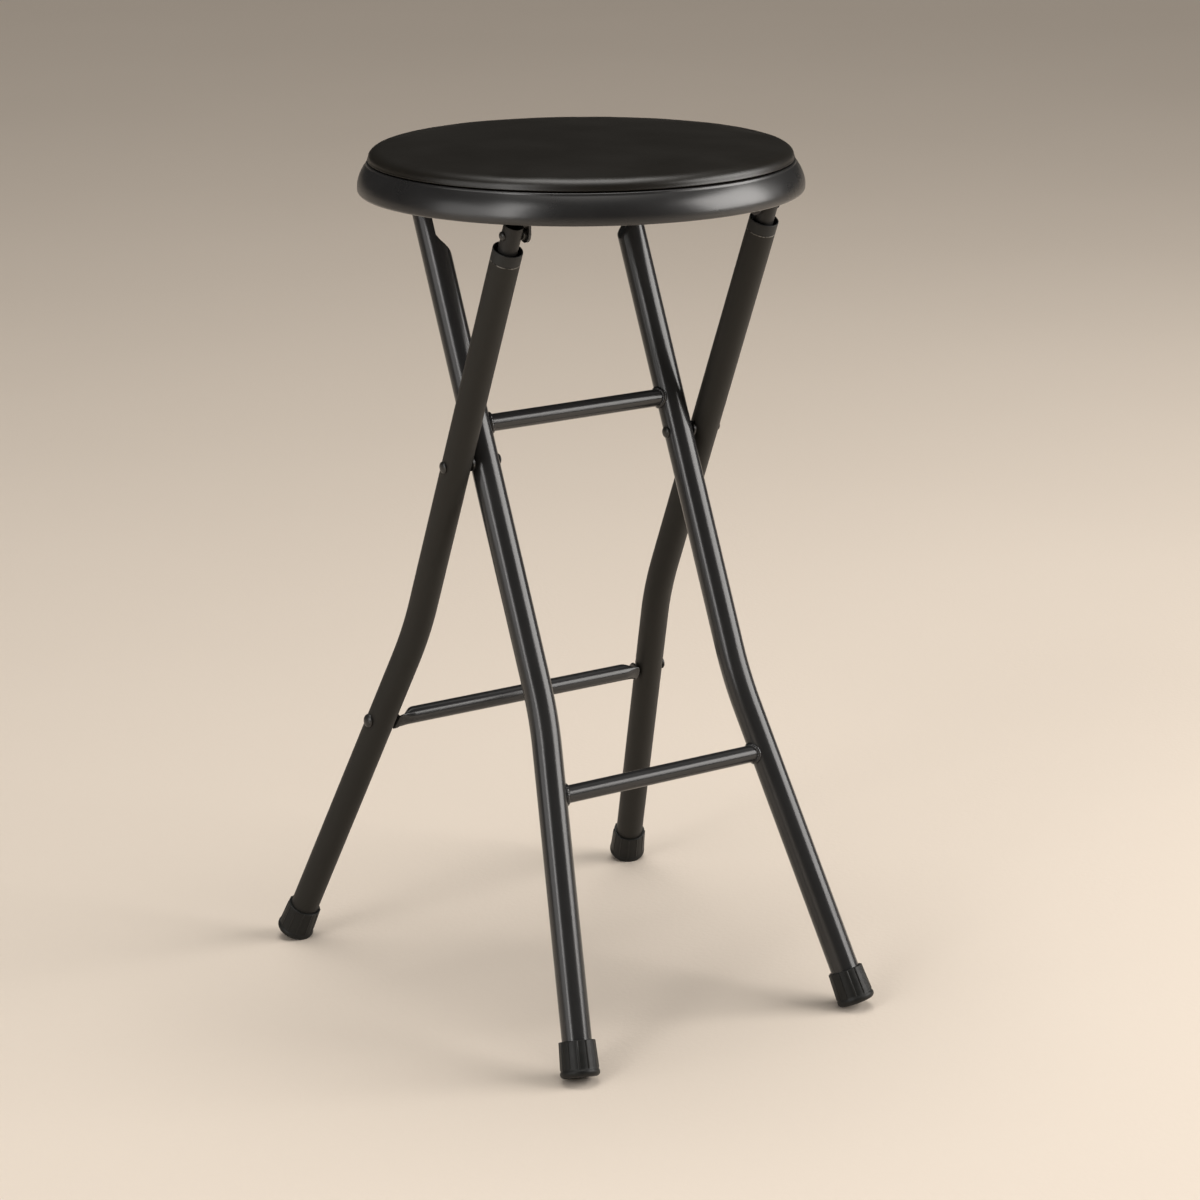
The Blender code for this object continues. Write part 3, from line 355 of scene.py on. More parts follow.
def vinyl():
    """Smooth upholstery vinyl with a fine pressed grain and broad soft unevenness."""
    surface = Surface("pad_vinyl")
    dark = (0.0074, 0.0061, 0.0042, 1.0)
    light = (0.0100, 0.0084, 0.0060, 1.0)
    patches = surface.noise(size=0.060, detail=4.0)
    creases = surface.noise(size=0.0016, detail=4.0, roughness=0.6)
    surface.feed("Base Color", surface.mix(patches, dark, light))
    gloss = surface.vary(patches, 0.31, 0.37)
    matt_creases = surface.math("MULTIPLY", creases, 0.06)
    surface.feed("Roughness", surface.math("ADD", gloss, matt_creases))
    grain = surface.bump(surface.cells(size=0.00075, smoothness=0.6), depth=0.000035)
    fine = surface.bump(creases, depth=0.000045, normal=grain)
    swells = surface.noise(size=0.035, detail=2.0)
    surface.feed("Normal", surface.bump(swells, depth=0.00025, normal=fine))
    surface.fix("Specular IOR Level", 0.5)
    return surface.material


def rubber():
    """Matt moulded rubber with a dusty bloom and a fine stipple."""
    surface = Surface("foot_rubber")
    dark = (0.0078, 0.0080, 0.0075, 1.0)
    dusty = (0.0145, 0.0148, 0.0138, 1.0)
    bloom = surface.noise(size=0.007, detail=5.0, roughness=0.65)
    surface.feed("Base Color", surface.mix(bloom, dark, dusty))
    surface.feed("Roughness", surface.vary(bloom, 0.38, 0.50))
    surface.feed("Normal", surface.bump(surface.noise(size=0.0005, detail=2.0), depth=0.00004))
    surface.fix("Specular IOR Level", 0.24)
    return surface.material


def plastic():
    """Matt moulded plastic with a fine texture."""
    surface = Surface("collar_plastic_look")
    dark = (0.017, 0.0175, 0.017, 1.0)
    light = (0.025, 0.0255, 0.0245, 1.0)
    patches = surface.noise(size=0.006, detail=3.0)
    surface.feed("Base Color", surface.mix(patches, dark, light))
    surface.feed("Roughness", surface.vary(patches, 0.46, 0.56))
    surface.feed("Normal", surface.bump(surface.noise(size=0.0004, detail=2.0), depth=0.00003))
    surface.fix("Specular IOR Level", 0.25)
    return surface.material


def rivet_metal():
    """Rivet painted with the frame, rubbed to the steel in spots."""
    surface = Surface("rivet_steel")
    painted = (0.019, 0.0185, 0.0175, 1.0)
    steel = (0.13, 0.127, 0.12, 1.0)
    spots = surface.noise(size=0.0015, detail=5.0, roughness=0.7)
    rubbed = surface.spread(spots, low=0.56, high=0.70)
    surface.feed("Base Color", surface.mix(rubbed, painted, steel))
    surface.feed("Roughness", surface.spread(rubbed, 0.0, 1.0, out_low=0.36, out_high=0.26))
    surface.feed("Metallic", rubbed)
    surface.feed("Normal", surface.bump(surface.noise(size=0.0007, detail=3.0), depth=0.00003))
    return surface.material


def screw_metal():
    """Zinc plate with a cloudy sheen."""
    surface = Surface("zinc_plate")
    dull = (0.34, 0.35, 0.34, 1.0)
    bright = (0.52, 0.52, 0.50, 1.0)
    clouds = surface.noise(size=0.0018, detail=4.0)
    surface.feed("Base Color", surface.mix(clouds, dull, bright))
    surface.feed("Roughness", surface.vary(clouds, 0.26, 0.42))
    surface.fix("Metallic", 1.0)
    surface.feed("Normal", surface.bump(surface.noise(size=0.0005, detail=3.0), depth=0.00005))
    return surface.material


def hardboard():
    """Brown pressed board with short fibres."""
    surface = Surface("hardboard")
    dark = (0.13, 0.070, 0.035, 1.0)
    light = (0.30, 0.185, 0.105, 1.0)
    fibres = surface.noise(size=0.003, detail=6.0, stretch=(1.0, 6.0, 1.0), roughness=0.7)
    surface.feed("Base Color", surface.mix(fibres, dark, light))
    surface.feed("Roughness", surface.vary(fibres, 0.72, 0.88))
    surface.feed("Normal", surface.bump(fibres, depth=0.0002))
    return surface.material


def floor_material():
    """Plain pale floor with the faintest unevenness."""
    surface = Surface("pale_floor")
    darker = (0.690, 0.605, 0.515, 1.0)
    lighter = (0.715, 0.630, 0.540, 1.0)
    clouds = surface.noise(size=0.9, detail=3.0)
    surface.feed("Base Color", surface.mix(clouds, darker, lighter))
    surface.feed("Roughness", surface.vary(clouds, 0.80, 0.90))
    surface.feed("Normal", surface.bump(surface.noise(size=0.004, detail=3.0), depth=0.0002))
    return surface.material


def make_materials():
    outer_axis = OUTER_TILT.to_3x3() @ UP
    mouth = outer_axis.dot(PIVOT) + MOUTH_TOP
    return {
        "vinyl": vinyl(),
        "pan": paint("pan_coat", (0.0170, 0.0168, 0.0170), roughness=0.28, swing=0.025,
                     peel=0.000012, shine=0.66),
        # The matt coat carries a painted highlight along the rim of each leg's mouth
        "outer": paint("matt_coat", (0.0220, 0.0208, 0.0182), roughness=0.50, swing=0.040,
                       peel=0.000016, shine=0.20, rim=(outer_axis, mouth)),
        "inner": paint("satin_coat", (0.0225, 0.0225, 0.0230), roughness=0.21, swing=0.020,
                       peel=0.000005, shine=0.50),
        "slide": paint("tube_coat", (0.0208, 0.0200, 0.0188), roughness=0.42, swing=0.035,
                       peel=0.000012, shine=0.25),
        "plastic": plastic(),
        "rubber": rubber(),
        "rivet": rivet_metal(),
        "screw": screw_metal(),
        "board": hardboard(),
    }


# Start of the names of each group of nodes that stays as it was packed, and the key of its look
KEPT_LOOKS = (
    ("front_bracket_", "pan"),
    ("rear_bracket_", "pan"),
    ("seat_screw_", "screw"),
    ("rear_hinge_rivet_", "rivet"),
    ("pad_board", "board"),
)


def dress_kept_nodes(looks):
    for name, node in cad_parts.items():
        for start, key in KEPT_LOOKS:
            if name.startswith(start):
                node.data.materials.clear()
                node.data.materials.append(looks[key])


def finish_piece(name, bm, place, look, body, nodes):
    """Turn a mesh into a shown piece that stands for some nodes and rides on a body."""
    bmesh.ops.recalc_face_normals(bm, faces=bm.faces)
    bmesh.ops.transform(bm, matrix=place, verts=bm.verts)
    mesh = bpy.data.meshes.new(name)
    bm.to_mesh(mesh)
    bm.free()
    mesh.materials.append(look)
    mesh.shade_smooth()
    mesh.set_sharp_from_angle(angle=SHARP_ANGLE)
    piece = bpy.data.objects.new(name, mesh)
    bpy.context.scene.collection.objects.link(piece)
    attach(piece, body)
    if nodes:
        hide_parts(*nodes)
    return piece


def join_loops(bm, first, second):
    """Four-sided faces between two loops of mesh points."""
    for i in range(len(first)):
        bm.faces.new((first[i - 1], first[i], second[i], second[i - 1]))


def skin_rings(rings, closed):
    """Faces over matching rings of points, back to the first ring or with both ends filled."""
    bm = bmesh.new()
    skins = [[bm.verts.new(point) for point in ring] for ring in rings]
    following = skins[1:] + skins[:1] if closed else skins[1:]
    for first, second in zip(skins, following):
        join_loops(bm, first, second)
    if not closed:
        bm.faces.new(skins[0])
        bm.faces.new(skins[-1])
    return bm


def revolve(profile, segments):
    """Turn (radius, height) points about Z. Both ends lie on the axis, or the outline is a loop."""
    on_axis = profile[0][0] < TOUCH_GAP / 2
    points = profile[1:-1] if on_axis else profile
    rings = []
    for radius, height in points:
        rings.append([(x, y, height) for x, y in circle_points(radius, segments)])
    if not on_axis:
        return skin_rings(rings, True)
    bm = skin_rings(rings, False)
    cap_fans(bm, (profile[0], profile[-1]))
    return bm


def cap_fans(bm, centers):
    """Replace the two big end faces by fans about a middle point."""
    bm.faces.ensure_lookup_table()
    ends = [face for face in bm.faces if len(face.verts) > 4]
    for face, (_, height) in zip(ends, centers):
        middle = bm.verts.new((0.0, 0.0, height))
        corners = list(face.verts)
        bm.faces.remove(face)
        for i in range(len(corners)):
            bm.faces.new((corners[i - 1], corners[i], middle))


def arc(center, radius, start, end, steps=ROUND_STEPS):
    """Points of a flat arc, with angles in radians, as (across, up) pairs."""
    turn = (end - start) / steps
    points = []
    for i in range(steps + 1):
        angle = start + turn * i
        points.append((center[0] + radius * math.cos(angle), center[1] + radius * math.sin(angle)))
    return points


def circle_points(radius, segments=TUBE_SEGMENTS):
    """Points of a flat circle, as (across, up) pairs."""
    angles = [math.tau * i / segments for i in range(segments)]
    return [(radius * math.cos(angle), radius * math.sin(angle)) for angle in angles]


def smooth_step(value):
    return value * value * (3 - 2 * value)


def section_ring(station, side, points):
    """Set section points, given as (outward, backward), square to the leg at a station."""
    x, height, lean = station
    return [
        (side * (x + out * math.cos(lean)), back, height + out * math.sin(lean)) for out, back in points
    ]


def leg_end_length(drop, flare, above_base):
    """Run down the flared part to a point that lies above_base over the middle of the foot's base."""
    tilt_cos = math.cos(HALF_ANGLE) * math.cos(flare)
    tilt_sin = math.sqrt(1 - tilt_cos * tilt_cos)
    edge = FOOT_BEAD_RADIUS - FOOT_EDGE_RADIUS
    base_z = edge * tilt_sin + FOOT_EDGE_RADIUS * (1 - tilt_cos) - FOOT_FLAT_DEPTH
    corner_z = PIVOT_HEIGHT - drop * math.cos(HALF_ANGLE)
    return (corner_z - base_z) / tilt_cos - above_base


def leg_stations(leg_x, drop, flare, top_stations):
    """Places down a leg as (x, height, lean) in its frame, top first, with one gentle outward bend."""
    shift = BEND_RADIUS * math.tan(flare / 2)
    stations = [(leg_x, height, 0.0) for height in top_stations]
    for step in range(BEND_STEPS + 1):
        lean = flare * step / BEND_STEPS
        x = leg_x + BEND_RADIUS * (1 - math.cos(lean))
        stations.append((x, -drop + shift - BEND_RADIUS * math.sin(lean), lean))
    end = leg_end_length(drop, flare, FOOT_FLOOR + TOUCH_GAP)
    stations.append((leg_x + end * math.sin(flare), -drop - end * math.cos(flare), flare))
    return stations


def pressed_points(radius, face_out):
    """Circle whose inner side is pressed to a flat chord at face_out from its centre."""
    start = math.acos(face_out / radius)
    half_chord = radius * math.sin(start)
    points = []
    for i in range(TUBE_SEGMENTS):
        angle = math.tau * i / TUBE_SEGMENTS
        if radius * math.cos(angle) > face_out:
            points.append((radius * math.cos(angle), radius * math.sin(angle)))
        else:
            along = (angle - start) / (math.tau - 2 * start)
            points.append((face_out, half_chord * (1 - 2 * along)))
    return points


def leg_mesh(side, leg_x, drop, flare, heights, sections):
    """Tube of a leg. The first sections are given as outer and inner outlines, the rest are round."""
    stations = leg_stations(leg_x, drop, flare, heights)
    plain = (circle_points(LEG_RADIUS), circle_points(LEG_RADIUS - LEG_WALL))
    pairs = sections + [plain] * (len(stations) - len(sections))
    outer = [section_ring(station, side, pair[0]) for station, pair in zip(stations, pairs)]
    inner = [section_ring(station, side, pair[1]) for station, pair in zip(stations, pairs)]
    return skin_rings(outer + inner[::-1], True)


def make_outer_legs(looks):
    for label, side in SIDES:
        bm = leg_mesh(side, OUTER_LEG_X, OUTER_BEND_DROP, OUTER_FLARE, [MOUTH_TOP], [])
        finish_piece(f"shown_outer_leg_{label}", bm, OUTER_TILT, looks["outer"], "outer_frame",
                     [f"outer_leg_{label}"])


def pressed_sections():
    """Heights and section pairs at the top of an inner leg, pressed end first."""
    heights = [SEAT_HINGE_UP + PRESS_END_ABOVE_HINGE]
    faces = [PRESS_FACE_OUT]
    flat = SEAT_HINGE_UP - PRESS_FLAT_BELOW_HINGE
    start = SEAT_HINGE_UP - PRESS_START_BELOW_HINGE
    for step in range(PRESS_STEPS):
        part = step / PRESS_STEPS
        heights.append(flat + (start - flat) * part)
        faces.append(PRESS_FACE_OUT - (LEG_RADIUS + PRESS_FACE_OUT) * smooth_step(part))
    sections = []
    for face in faces:
        outer = pressed_points(LEG_RADIUS, face)
        inner = pressed_points(LEG_RADIUS - LEG_WALL, face + LEG_WALL)
        sections.append((outer, inner))
    heights.append(start)
    return heights, sections


def make_inner_legs(looks):
    heights, sections = pressed_sections()
    for label, side in SIDES:
        bm = leg_mesh(side, INNER_LEG_X, INNER_BEND_DROP, INNER_FLARE, heights, sections)
        finish_piece(f"shown_inner_leg_{label}", bm, INNER_TILT, looks["inner"], "inner_frame",
                     [f"inner_leg_{label}"])


def inner_leg_axis_x(height):
    """Distance of an inner leg's centre line from the middle, at a height in its frame."""
    return INNER_LEG_X + max(-height - INNER_BEND_DROP, 0.0) * math.tan(INNER_FLARE)


def make_bars(looks):
    """Crossbars of the inner frame, which run just inside the legs' walls, and their weld beads."""
    for name, height in (("upper_crossbar", UPPER_BAR_UP), ("front_footrest", -FOOTREST_DROP)):
        reach = inner_leg_axis_x(height) - LEG_RADIUS + LEG_WALL
        rings = []
        for end in (-reach, reach):
            rings.append([(end, back, height + up) for back, up in circle_points(BAR_RADIUS)])
        finish_piece(f"shown_{name}", skin_rings(rings, False), INNER_TILT, looks["inner"],
                     "inner_frame", [name])
        for label, side in SIDES:
            finish_piece(f"weld_bead_{name}_{label}", bead_mesh(side, height), INNER_TILT,
                         looks["inner"], "inner_frame", [])


def bead_mesh(side, height):
    """Rippled bead of weld on the line where a bar meets its leg."""
    steps = BEAD_RIPPLES * BEAD_STEPS_PER_RIPPLE
    rings = []
    for step in range(steps):
        angle = math.tau * step / steps
        back = BAR_RADIUS * math.cos(angle)
        up = BAR_RADIUS * math.sin(angle)
        axis = inner_leg_axis_x(height + up)
        x = axis - math.sqrt(LEG_RADIUS ** 2 - back ** 2) - BEAD_RADIUS / 3
        ripple = BEAD_RIPPLE * abs(math.sin(angle * BEAD_RIPPLES / 2))
        ring = []
        for across, out in circle_points(BEAD_RADIUS + ripple, BEAD_SEGMENTS):
            scale = 1 + out / BAR_RADIUS
            ring.append((side * (x + across), back * scale, height + up * scale))
        rings.append(ring)
    return skin_rings(rings, True)


def tube_mesh(radius, wall, low, high, rounding):
    """Open tube along Z with slightly rounded rims."""
    bore = radius - wall
    profile = [(bore, low), (radius, low), (radius, high - rounding)]
    steps = ROUND_STEPS // 2
    profile += arc((radius - rounding, high - rounding), rounding, 0.0, math.pi / 2, steps)[1:]
    profile += arc((bore + rounding, high - rounding), rounding, math.pi / 2, math.pi, steps)
    return revolve(profile, TUBE_SEGMENTS)


def make_mouths(looks):
    """Collars in the mouths of the outer legs, and the slide tubes that run in them."""
    low = PIVOT_RIVET_RADIUS + STOP_GAP
    high = SLIDE_HINGE_UP + SLIDE_TOP_ABOVE_HINGE
    for label, side in SIDES:
        place = OUTER_TILT @ Matrix.Translation((side * OUTER_LEG_X, 0.0, 0.0))
        collar = tube_mesh(LEG_RADIUS, COLLAR_WALL, COLLAR_TOP - COLLAR_LENGTH, COLLAR_TOP,
                           COLLAR_RIM_RADIUS)
        finish_piece(f"shown_collar_{label}", collar, place, looks["plastic"], "outer_frame",
                     [f"collar_{label}"])
        tube = tube_mesh(SLIDE_RADIUS, SLIDE_WALL, low, high, SLIDE_RIM_RADIUS)
        finish_piece(f"shown_slide_tube_{label}", tube, place, looks["slide"], "slide_tubes",
                     [f"slide_tube_{label}"])


def foot_profile():
    """Half outline of a foot, from the middle of its base to the middle of its socket's floor."""
    socket = LEG_RADIUS + TOUCH_GAP
    lip = FOOT_LIP_RADIUS
    bead_low = FOOT_BEAD_HEIGHT - FOOT_BEAD_BAND
    edge_center = (FOOT_BEAD_RADIUS - FOOT_EDGE_RADIUS, FOOT_EDGE_RADIUS)
    profile = [(0.0, 0.0)]
    profile += arc(edge_center, FOOT_EDGE_RADIUS, -math.pi / 2, 0.0)
    profile += [
        (FOOT_BEAD_RADIUS, bead_low),
        (FOOT_BEAD_RADIUS - FOOT_BEAD_DIP, bead_low + FOOT_BEAD_BAND / 2),
        (FOOT_NECK_RADIUS, FOOT_BEAD_HEIGHT),
        (FOOT_NECK_RADIUS - FOOT_NECK_DIP, FOOT_BEAD_HEIGHT + FOOT_NECK_LENGTH),
    ]
    lip_center = (FOOT_TOP_RADIUS - lip, FOOT_HEIGHT - lip)
    profile += arc(lip_center, lip, 0.0, math.pi / 2, ROUND_STEPS // 2)
    profile += [(socket, FOOT_HEIGHT), (socket, FOOT_FLOOR), (0.0, FOOT_FLOOR)]
    return profile


def rib_rise(angle):
    """Height of the ribs round a foot's wall: thin round ridges at even spacing."""
    spacing = math.tau / FOOT_RIB_COUNT
    off = (angle + spacing / 2) % spacing - spacing / 2
    half = FOOT_RIB_WIDTH / 2 / FOOT_NECK_RADIUS
    if abs(off) >= half:
        return 0.0
    return FOOT_RIB_HEIGHT * (0.5 + 0.5 * math.cos(math.pi * off / half))


def foot_mesh():
    """Turned foot with ribs on its outer wall, between the bead and the lip."""
    profile = foot_profile()
    rings = []
    for radius, height in profile[1:-1]:
        outside = radius > LEG_RADIUS + 2 * TOUCH_GAP
        on_wall = outside and FOOT_BEAD_HEIGHT < height < FOOT_HEIGHT - TOUCH_GAP
        ring = []
        for i in range(FOOT_SEGMENTS):
            angle = math.tau * i / FOOT_SEGMENTS
            reach = radius + (rib_rise(angle) if on_wall else 0.0)
            ring.append((reach * math.cos(angle), reach * math.sin(angle), height))
        rings.append(ring)
    return skin_rings(rings, False)


def make_feet(looks):
    rows = (
        ("rear", OUTER_TILT, OUTER_LEG_X, OUTER_BEND_DROP, OUTER_FLARE, "outer_frame"),
        ("front", INNER_TILT, INNER_LEG_X, INNER_BEND_DROP, INNER_FLARE, "inner_frame"),
    )
    for row, tilt, leg_x, drop, flare, body in rows:
        for label, side in SIDES:
            base = leg_end_length(drop, flare, 0.0)
            middle = (side * (leg_x + base * math.sin(flare)), 0.0, -drop - base * math.cos(flare))
            place = tilt @ Matrix.Translation(middle) @ Matrix.Rotation(-side * flare, 4, "Y")
            bm = foot_mesh()
            cut_at_floor(bm, place)
            finish_piece(f"shown_foot_{row}_{label}", bm, place, looks["rubber"], body,
                         [f"foot_{row}_{label}"])


def cut_at_floor(bm, place):
    """Trim a foot flat where it meets the floor."""
    to_local = place.inverted()
    point = to_local.translation
    normal = (to_local.to_3x3() @ -UP).normalized()
    geom = bm.verts[:] + bm.edges[:] + bm.faces[:]
    cut = bmesh.ops.bisect_plane(bm, geom=geom, plane_co=point, plane_no=normal, clear_outer=True,
                                 dist=CUT_TOLERANCE)
    rim = [item for item in cut["geom_cut"] if isinstance(item, bmesh.types.BMEdge)]
    bmesh.ops.contextual_create(bm, geom=rim)


def dome(radius, height, base, direction):
    """Profile points of a low dome from its rim to its top on the axis, rising along direction."""
    points = []
    for step in range(ROUND_STEPS + 1):
        angle = math.pi / 2 * step / ROUND_STEPS
        points.append((radius * math.cos(angle), base + direction * height * math.sin(angle)))
    points[-1] = (0.0, base + direction * height)
    return points


def rivet_mesh(shank, low, high, low_head, high_head):
    """Pin along Z between low and high, with a domed head, as (radius, height), at each end."""
    lower = dome(low_head[0], low_head[1], low, -1)
    upper = dome(high_head[0], high_head[1], high, 1)
    return revolve(lower[::-1] + [(shank, low), (shank, high)] + upper, PIN_SEGMENTS)


def spacer_mesh(inner, outer, start, end):
    """Plain ring along Z."""
    return revolve([(inner, start), (outer, start), (outer, end), (inner, end)], PIN_SEGMENTS)


def bar_rivet_place(side):
    """Placement of a crossbar rivet: its +Z points outward, square to the flared leg."""
    drop = REAR_BAR_DROP + BAR_RIVET_DROP
    x = OUTER_LEG_X + (drop - OUTER_BEND_DROP) * math.tan(OUTER_FLARE)
    turn = Matrix.Rotation(side * (math.pi / 2 - OUTER_FLARE), 4, "Y")
    return Matrix.Translation((side * x, 0.0, -drop)) @ turn


def make_pivot(label, side, look):
    """Pivot rivet through both legs of a side, and the spacer between them."""
    place = INNER_TILT @ Matrix.Rotation(side * math.pi / 2, 4, "Y")
    head = (PIVOT_HEAD_RADIUS, PIVOT_HEAD_HEIGHT)
    low = INNER_LEG_X - LEG_RADIUS - TOUCH_GAP
    high = OUTER_LEG_X + LEG_RADIUS + TOUCH_GAP
    pin = rivet_mesh(PIVOT_RIVET_RADIUS, low, high, head, head)
    finish_piece(f"shown_pivot_rivet_{label}", pin, place, look, "inner_frame",
                 [f"pivot_rivet_{label}"])
    bore = PIVOT_RIVET_RADIUS + TOUCH_GAP
    ring = spacer_mesh(bore, bore + SPACER_WALL, INNER_LEG_X + LEG_RADIUS + TOUCH_GAP,
                       OUTER_LEG_X - LEG_RADIUS - TOUCH_GAP)
    finish_piece(f"shown_pivot_spacer_{label}", ring, place, look, "inner_frame",
                 [f"pivot_spacer_{label}"])


def make_front_hinge(label, side, look):
    """Rivet through a slide tube and the ear of its bracket, and the spacer between them."""
    place = Matrix.Translation(SLIDE_HINGE) @ Matrix.Rotation(side * math.pi / 2, 4, "Y")
    ear_x = OUTER_LEG_X - SLIDE_RADIUS - FRONT_EAR_SPACER - 2 * TOUCH_GAP
    low = ear_x - BRACKET_SHEET - TOUCH_GAP
    high = OUTER_LEG_X + SLIDE_RADIUS + TOUCH_GAP
    pin = rivet_mesh(HINGE_RIVET_RADIUS, low, high, (HINGE_HEAD_RADIUS, HINGE_HEAD_HEIGHT),
                     (TUBE_HEAD_RADIUS, HINGE_HEAD_HEIGHT))
    finish_piece(f"shown_front_hinge_rivet_{label}", pin, place, look, "seat",
                 [f"front_hinge_rivet_{label}"])
    bore = HINGE_RIVET_RADIUS + TOUCH_GAP
    ring = spacer_mesh(bore, bore + SPACER_WALL / 2, ear_x + TOUCH_GAP,
                       OUTER_LEG_X - SLIDE_RADIUS - TOUCH_GAP)
    finish_piece(f"shown_front_hinge_spacer_{label}", ring, place, look, "seat",
                 [f"front_hinge_spacer_{label}"])


def make_crossbar_rivet(label, side, look):
    """Rivet through an outer leg and the tab of the rear crossbar."""
    low = -LEG_RADIUS - 2 * TOUCH_GAP - TAB_THICKNESS
    pin = rivet_mesh(BAR_RIVET_RADIUS, low, LEG_RADIUS + TOUCH_GAP, (BAR_TAIL_RADIUS, BAR_TAIL_HEIGHT),
                     (BAR_HEAD_RADIUS, BAR_HEAD_HEIGHT))
    finish_piece(f"shown_crossbar_rivet_{label}", pin, OUTER_TILT @ bar_rivet_place(side), look,
                 "outer_frame", [f"crossbar_rivet_{label}"])


def make_rivets(looks):
    for label, side in SIDES:
        make_pivot(label, side, looks["rivet"])
        make_front_hinge(label, side, looks["rivet"])
        make_crossbar_rivet(label, side, looks["rivet"])


def crossbar_end_stations(tab):
    """One end of the rear crossbar as (x, back, height, turn, thickness, tall), middle first."""
    press_start = tab.x - TAB_NECK_LENGTH
    bend_x = tab.x - TAB_BEND_RADIUS
    bar = 2 * BAR_RADIUS
    neck_z = -REAR_BAR_DROP - (bar - TAB_NECK_HEIGHT) / 2
    stations = []
    for step in range(PRESS_STEPS):
        part = smooth_step(step / (PRESS_STEPS - 1))
        x = press_start + (bend_x - press_start) * step / (PRESS_STEPS - 1)
        back = -REAR_BAR_FORWARD - (TAB_FORWARD - REAR_BAR_FORWARD) * part
        z = -REAR_BAR_DROP + (neck_z + REAR_BAR_DROP) * part
        thickness = bar + (TAB_THICKNESS - bar) * part
        tall = bar + (TAB_NECK_HEIGHT - bar) * part
        stations.append((x, back, z, 0.0, thickness, tall))
    for step in range(1, ROUND_STEPS + 1):
        part = step / ROUND_STEPS
        turn = math.pi / 2 * part
        x = bend_x + TAB_BEND_RADIUS * math.sin(turn)
        back = -TAB_FORWARD + TAB_BEND_RADIUS * (1 - math.cos(turn))
        z = neck_z + (tab.z - neck_z) * part
        tall = TAB_NECK_HEIGHT + (TAB_HEIGHT - TAB_NECK_HEIGHT) * part
        stations.append((x, back, z, turn, TAB_THICKNESS, tall))
    for step in range(ROUND_STEPS):
        angle = math.pi / 2 * step / ROUND_STEPS
        reach = TAB_HEIGHT / 2 * math.sin(angle)
        tall = TAB_HEIGHT * math.cos(angle)
        stations.append((tab.x, reach, tab.z, math.pi / 2, TAB_THICKNESS, tall))
    return stations


def crossbar_ring(station, side):
    """Oval section, stretched from a circle one across. Past the bend it leans with the flared leg."""
    x, back, height, turn, thickness, tall = station
    lean = math.tan(OUTER_FLARE) * (turn / (math.pi / 2))
    ring = []
    for across, up in circle_points(0.5):
        depth = thickness * across
        rise = tall * up
        out = x - depth * math.sin(turn) - rise * lean
        ring.append((side * out, back + depth * math.cos(turn), height + rise))
    return ring


def make_rear_crossbar(looks):
    tab = bar_rivet_place(1) @ Vector((0.0, 0.0, -LEG_RADIUS - TOUCH_GAP - TAB_THICKNESS / 2))
    half = crossbar_end_stations(tab)
    left = [crossbar_ring(station, -1) for station in half]
    right = [crossbar_ring(station, 1) for station in half]
    finish_piece("shown_rear_crossbar", skin_rings(left[::-1] + right, False), OUTER_TILT,
                 looks["inner"], "outer_frame", ["rear_crossbar"])


def skirt_points(inset):
    """Points down the pan's bulging skirt, between its shoulder and its hem, set in by inset."""
    top = SHOULDER_Z - PAN_SHOULDER_ROUND
    fall = top - RIM_Z - PAN_HEM_DEPTH
    points = []
    steps = 2 * ROUND_STEPS
    for step in range(1, steps):
        part = step / steps
        radius = SHOULDER_RADIUS + PAN_FLARE * part + 4 * PAN_BULGE * part * (1 - part)
        points.append((radius - inset, top - fall * part))
    return points


def make_pan(looks):
    hem_center = (PAN_RADIUS - PAN_HEM_RADIUS, RIM_Z + PAN_HEM_RADIUS)
    round_center = (SHOULDER_RADIUS - PAN_SHOULDER_ROUND, SHOULDER_Z - PAN_SHOULDER_ROUND)
    inner_center = (RECESS_RADIUS + PAN_SHOULDER_ROUND, SHOULDER_Z - PAN_SHOULDER_ROUND)
    deck_under = DECK_TOP_Z - PAN_SHEET
    profile = [(0.0, DECK_TOP_Z), (RECESS_RADIUS - PAN_SHOULDER_ROUND, DECK_TOP_Z)]
    profile += [(RECESS_RADIUS, DECK_TOP_Z + PAN_SHOULDER_ROUND)]
    profile += arc(inner_center, PAN_SHOULDER_ROUND, math.pi, math.pi / 2)
    profile += arc(round_center, PAN_SHOULDER_ROUND, math.pi / 2, 0.0)
    profile += skirt_points(0.0)
    profile += arc(hem_center, PAN_HEM_RADIUS, 0.0, -math.pi)
    profile += [
        (PAN_RADIUS - 2 * PAN_HEM_RADIUS, RIM_Z + PAN_HEM_DEPTH - PAN_SHEET),
        (PAN_RADIUS - 2 * PAN_SHEET, RIM_Z + PAN_HEM_DEPTH),
    ]
    profile += skirt_points(PAN_SHEET)[::-1]
    profile += [
        (SHOULDER_RADIUS - PAN_SHEET, SHOULDER_Z - 2 * PAN_SHEET),
        (RECESS_RADIUS + PAN_SHEET, SHOULDER_Z - PAN_SHEET),
        (RECESS_RADIUS + PAN_SHEET, DECK_TOP_Z),
        (RECESS_RADIUS, deck_under),
        (0.0, deck_under),
    ]
    finish_piece("shown_seat_pan", revolve(profile, SEAT_SEGMENTS), Matrix(), looks["pan"], "seat",
                 ["seat_pan"])


def apply_modifiers(piece):
    graph = bpy.context.evaluated_depsgraph_get()
    mesh = bpy.data.meshes.new_from_object(piece.evaluated_get(graph), depsgraph=graph)
    piece.modifiers.clear()
    piece.data = mesh


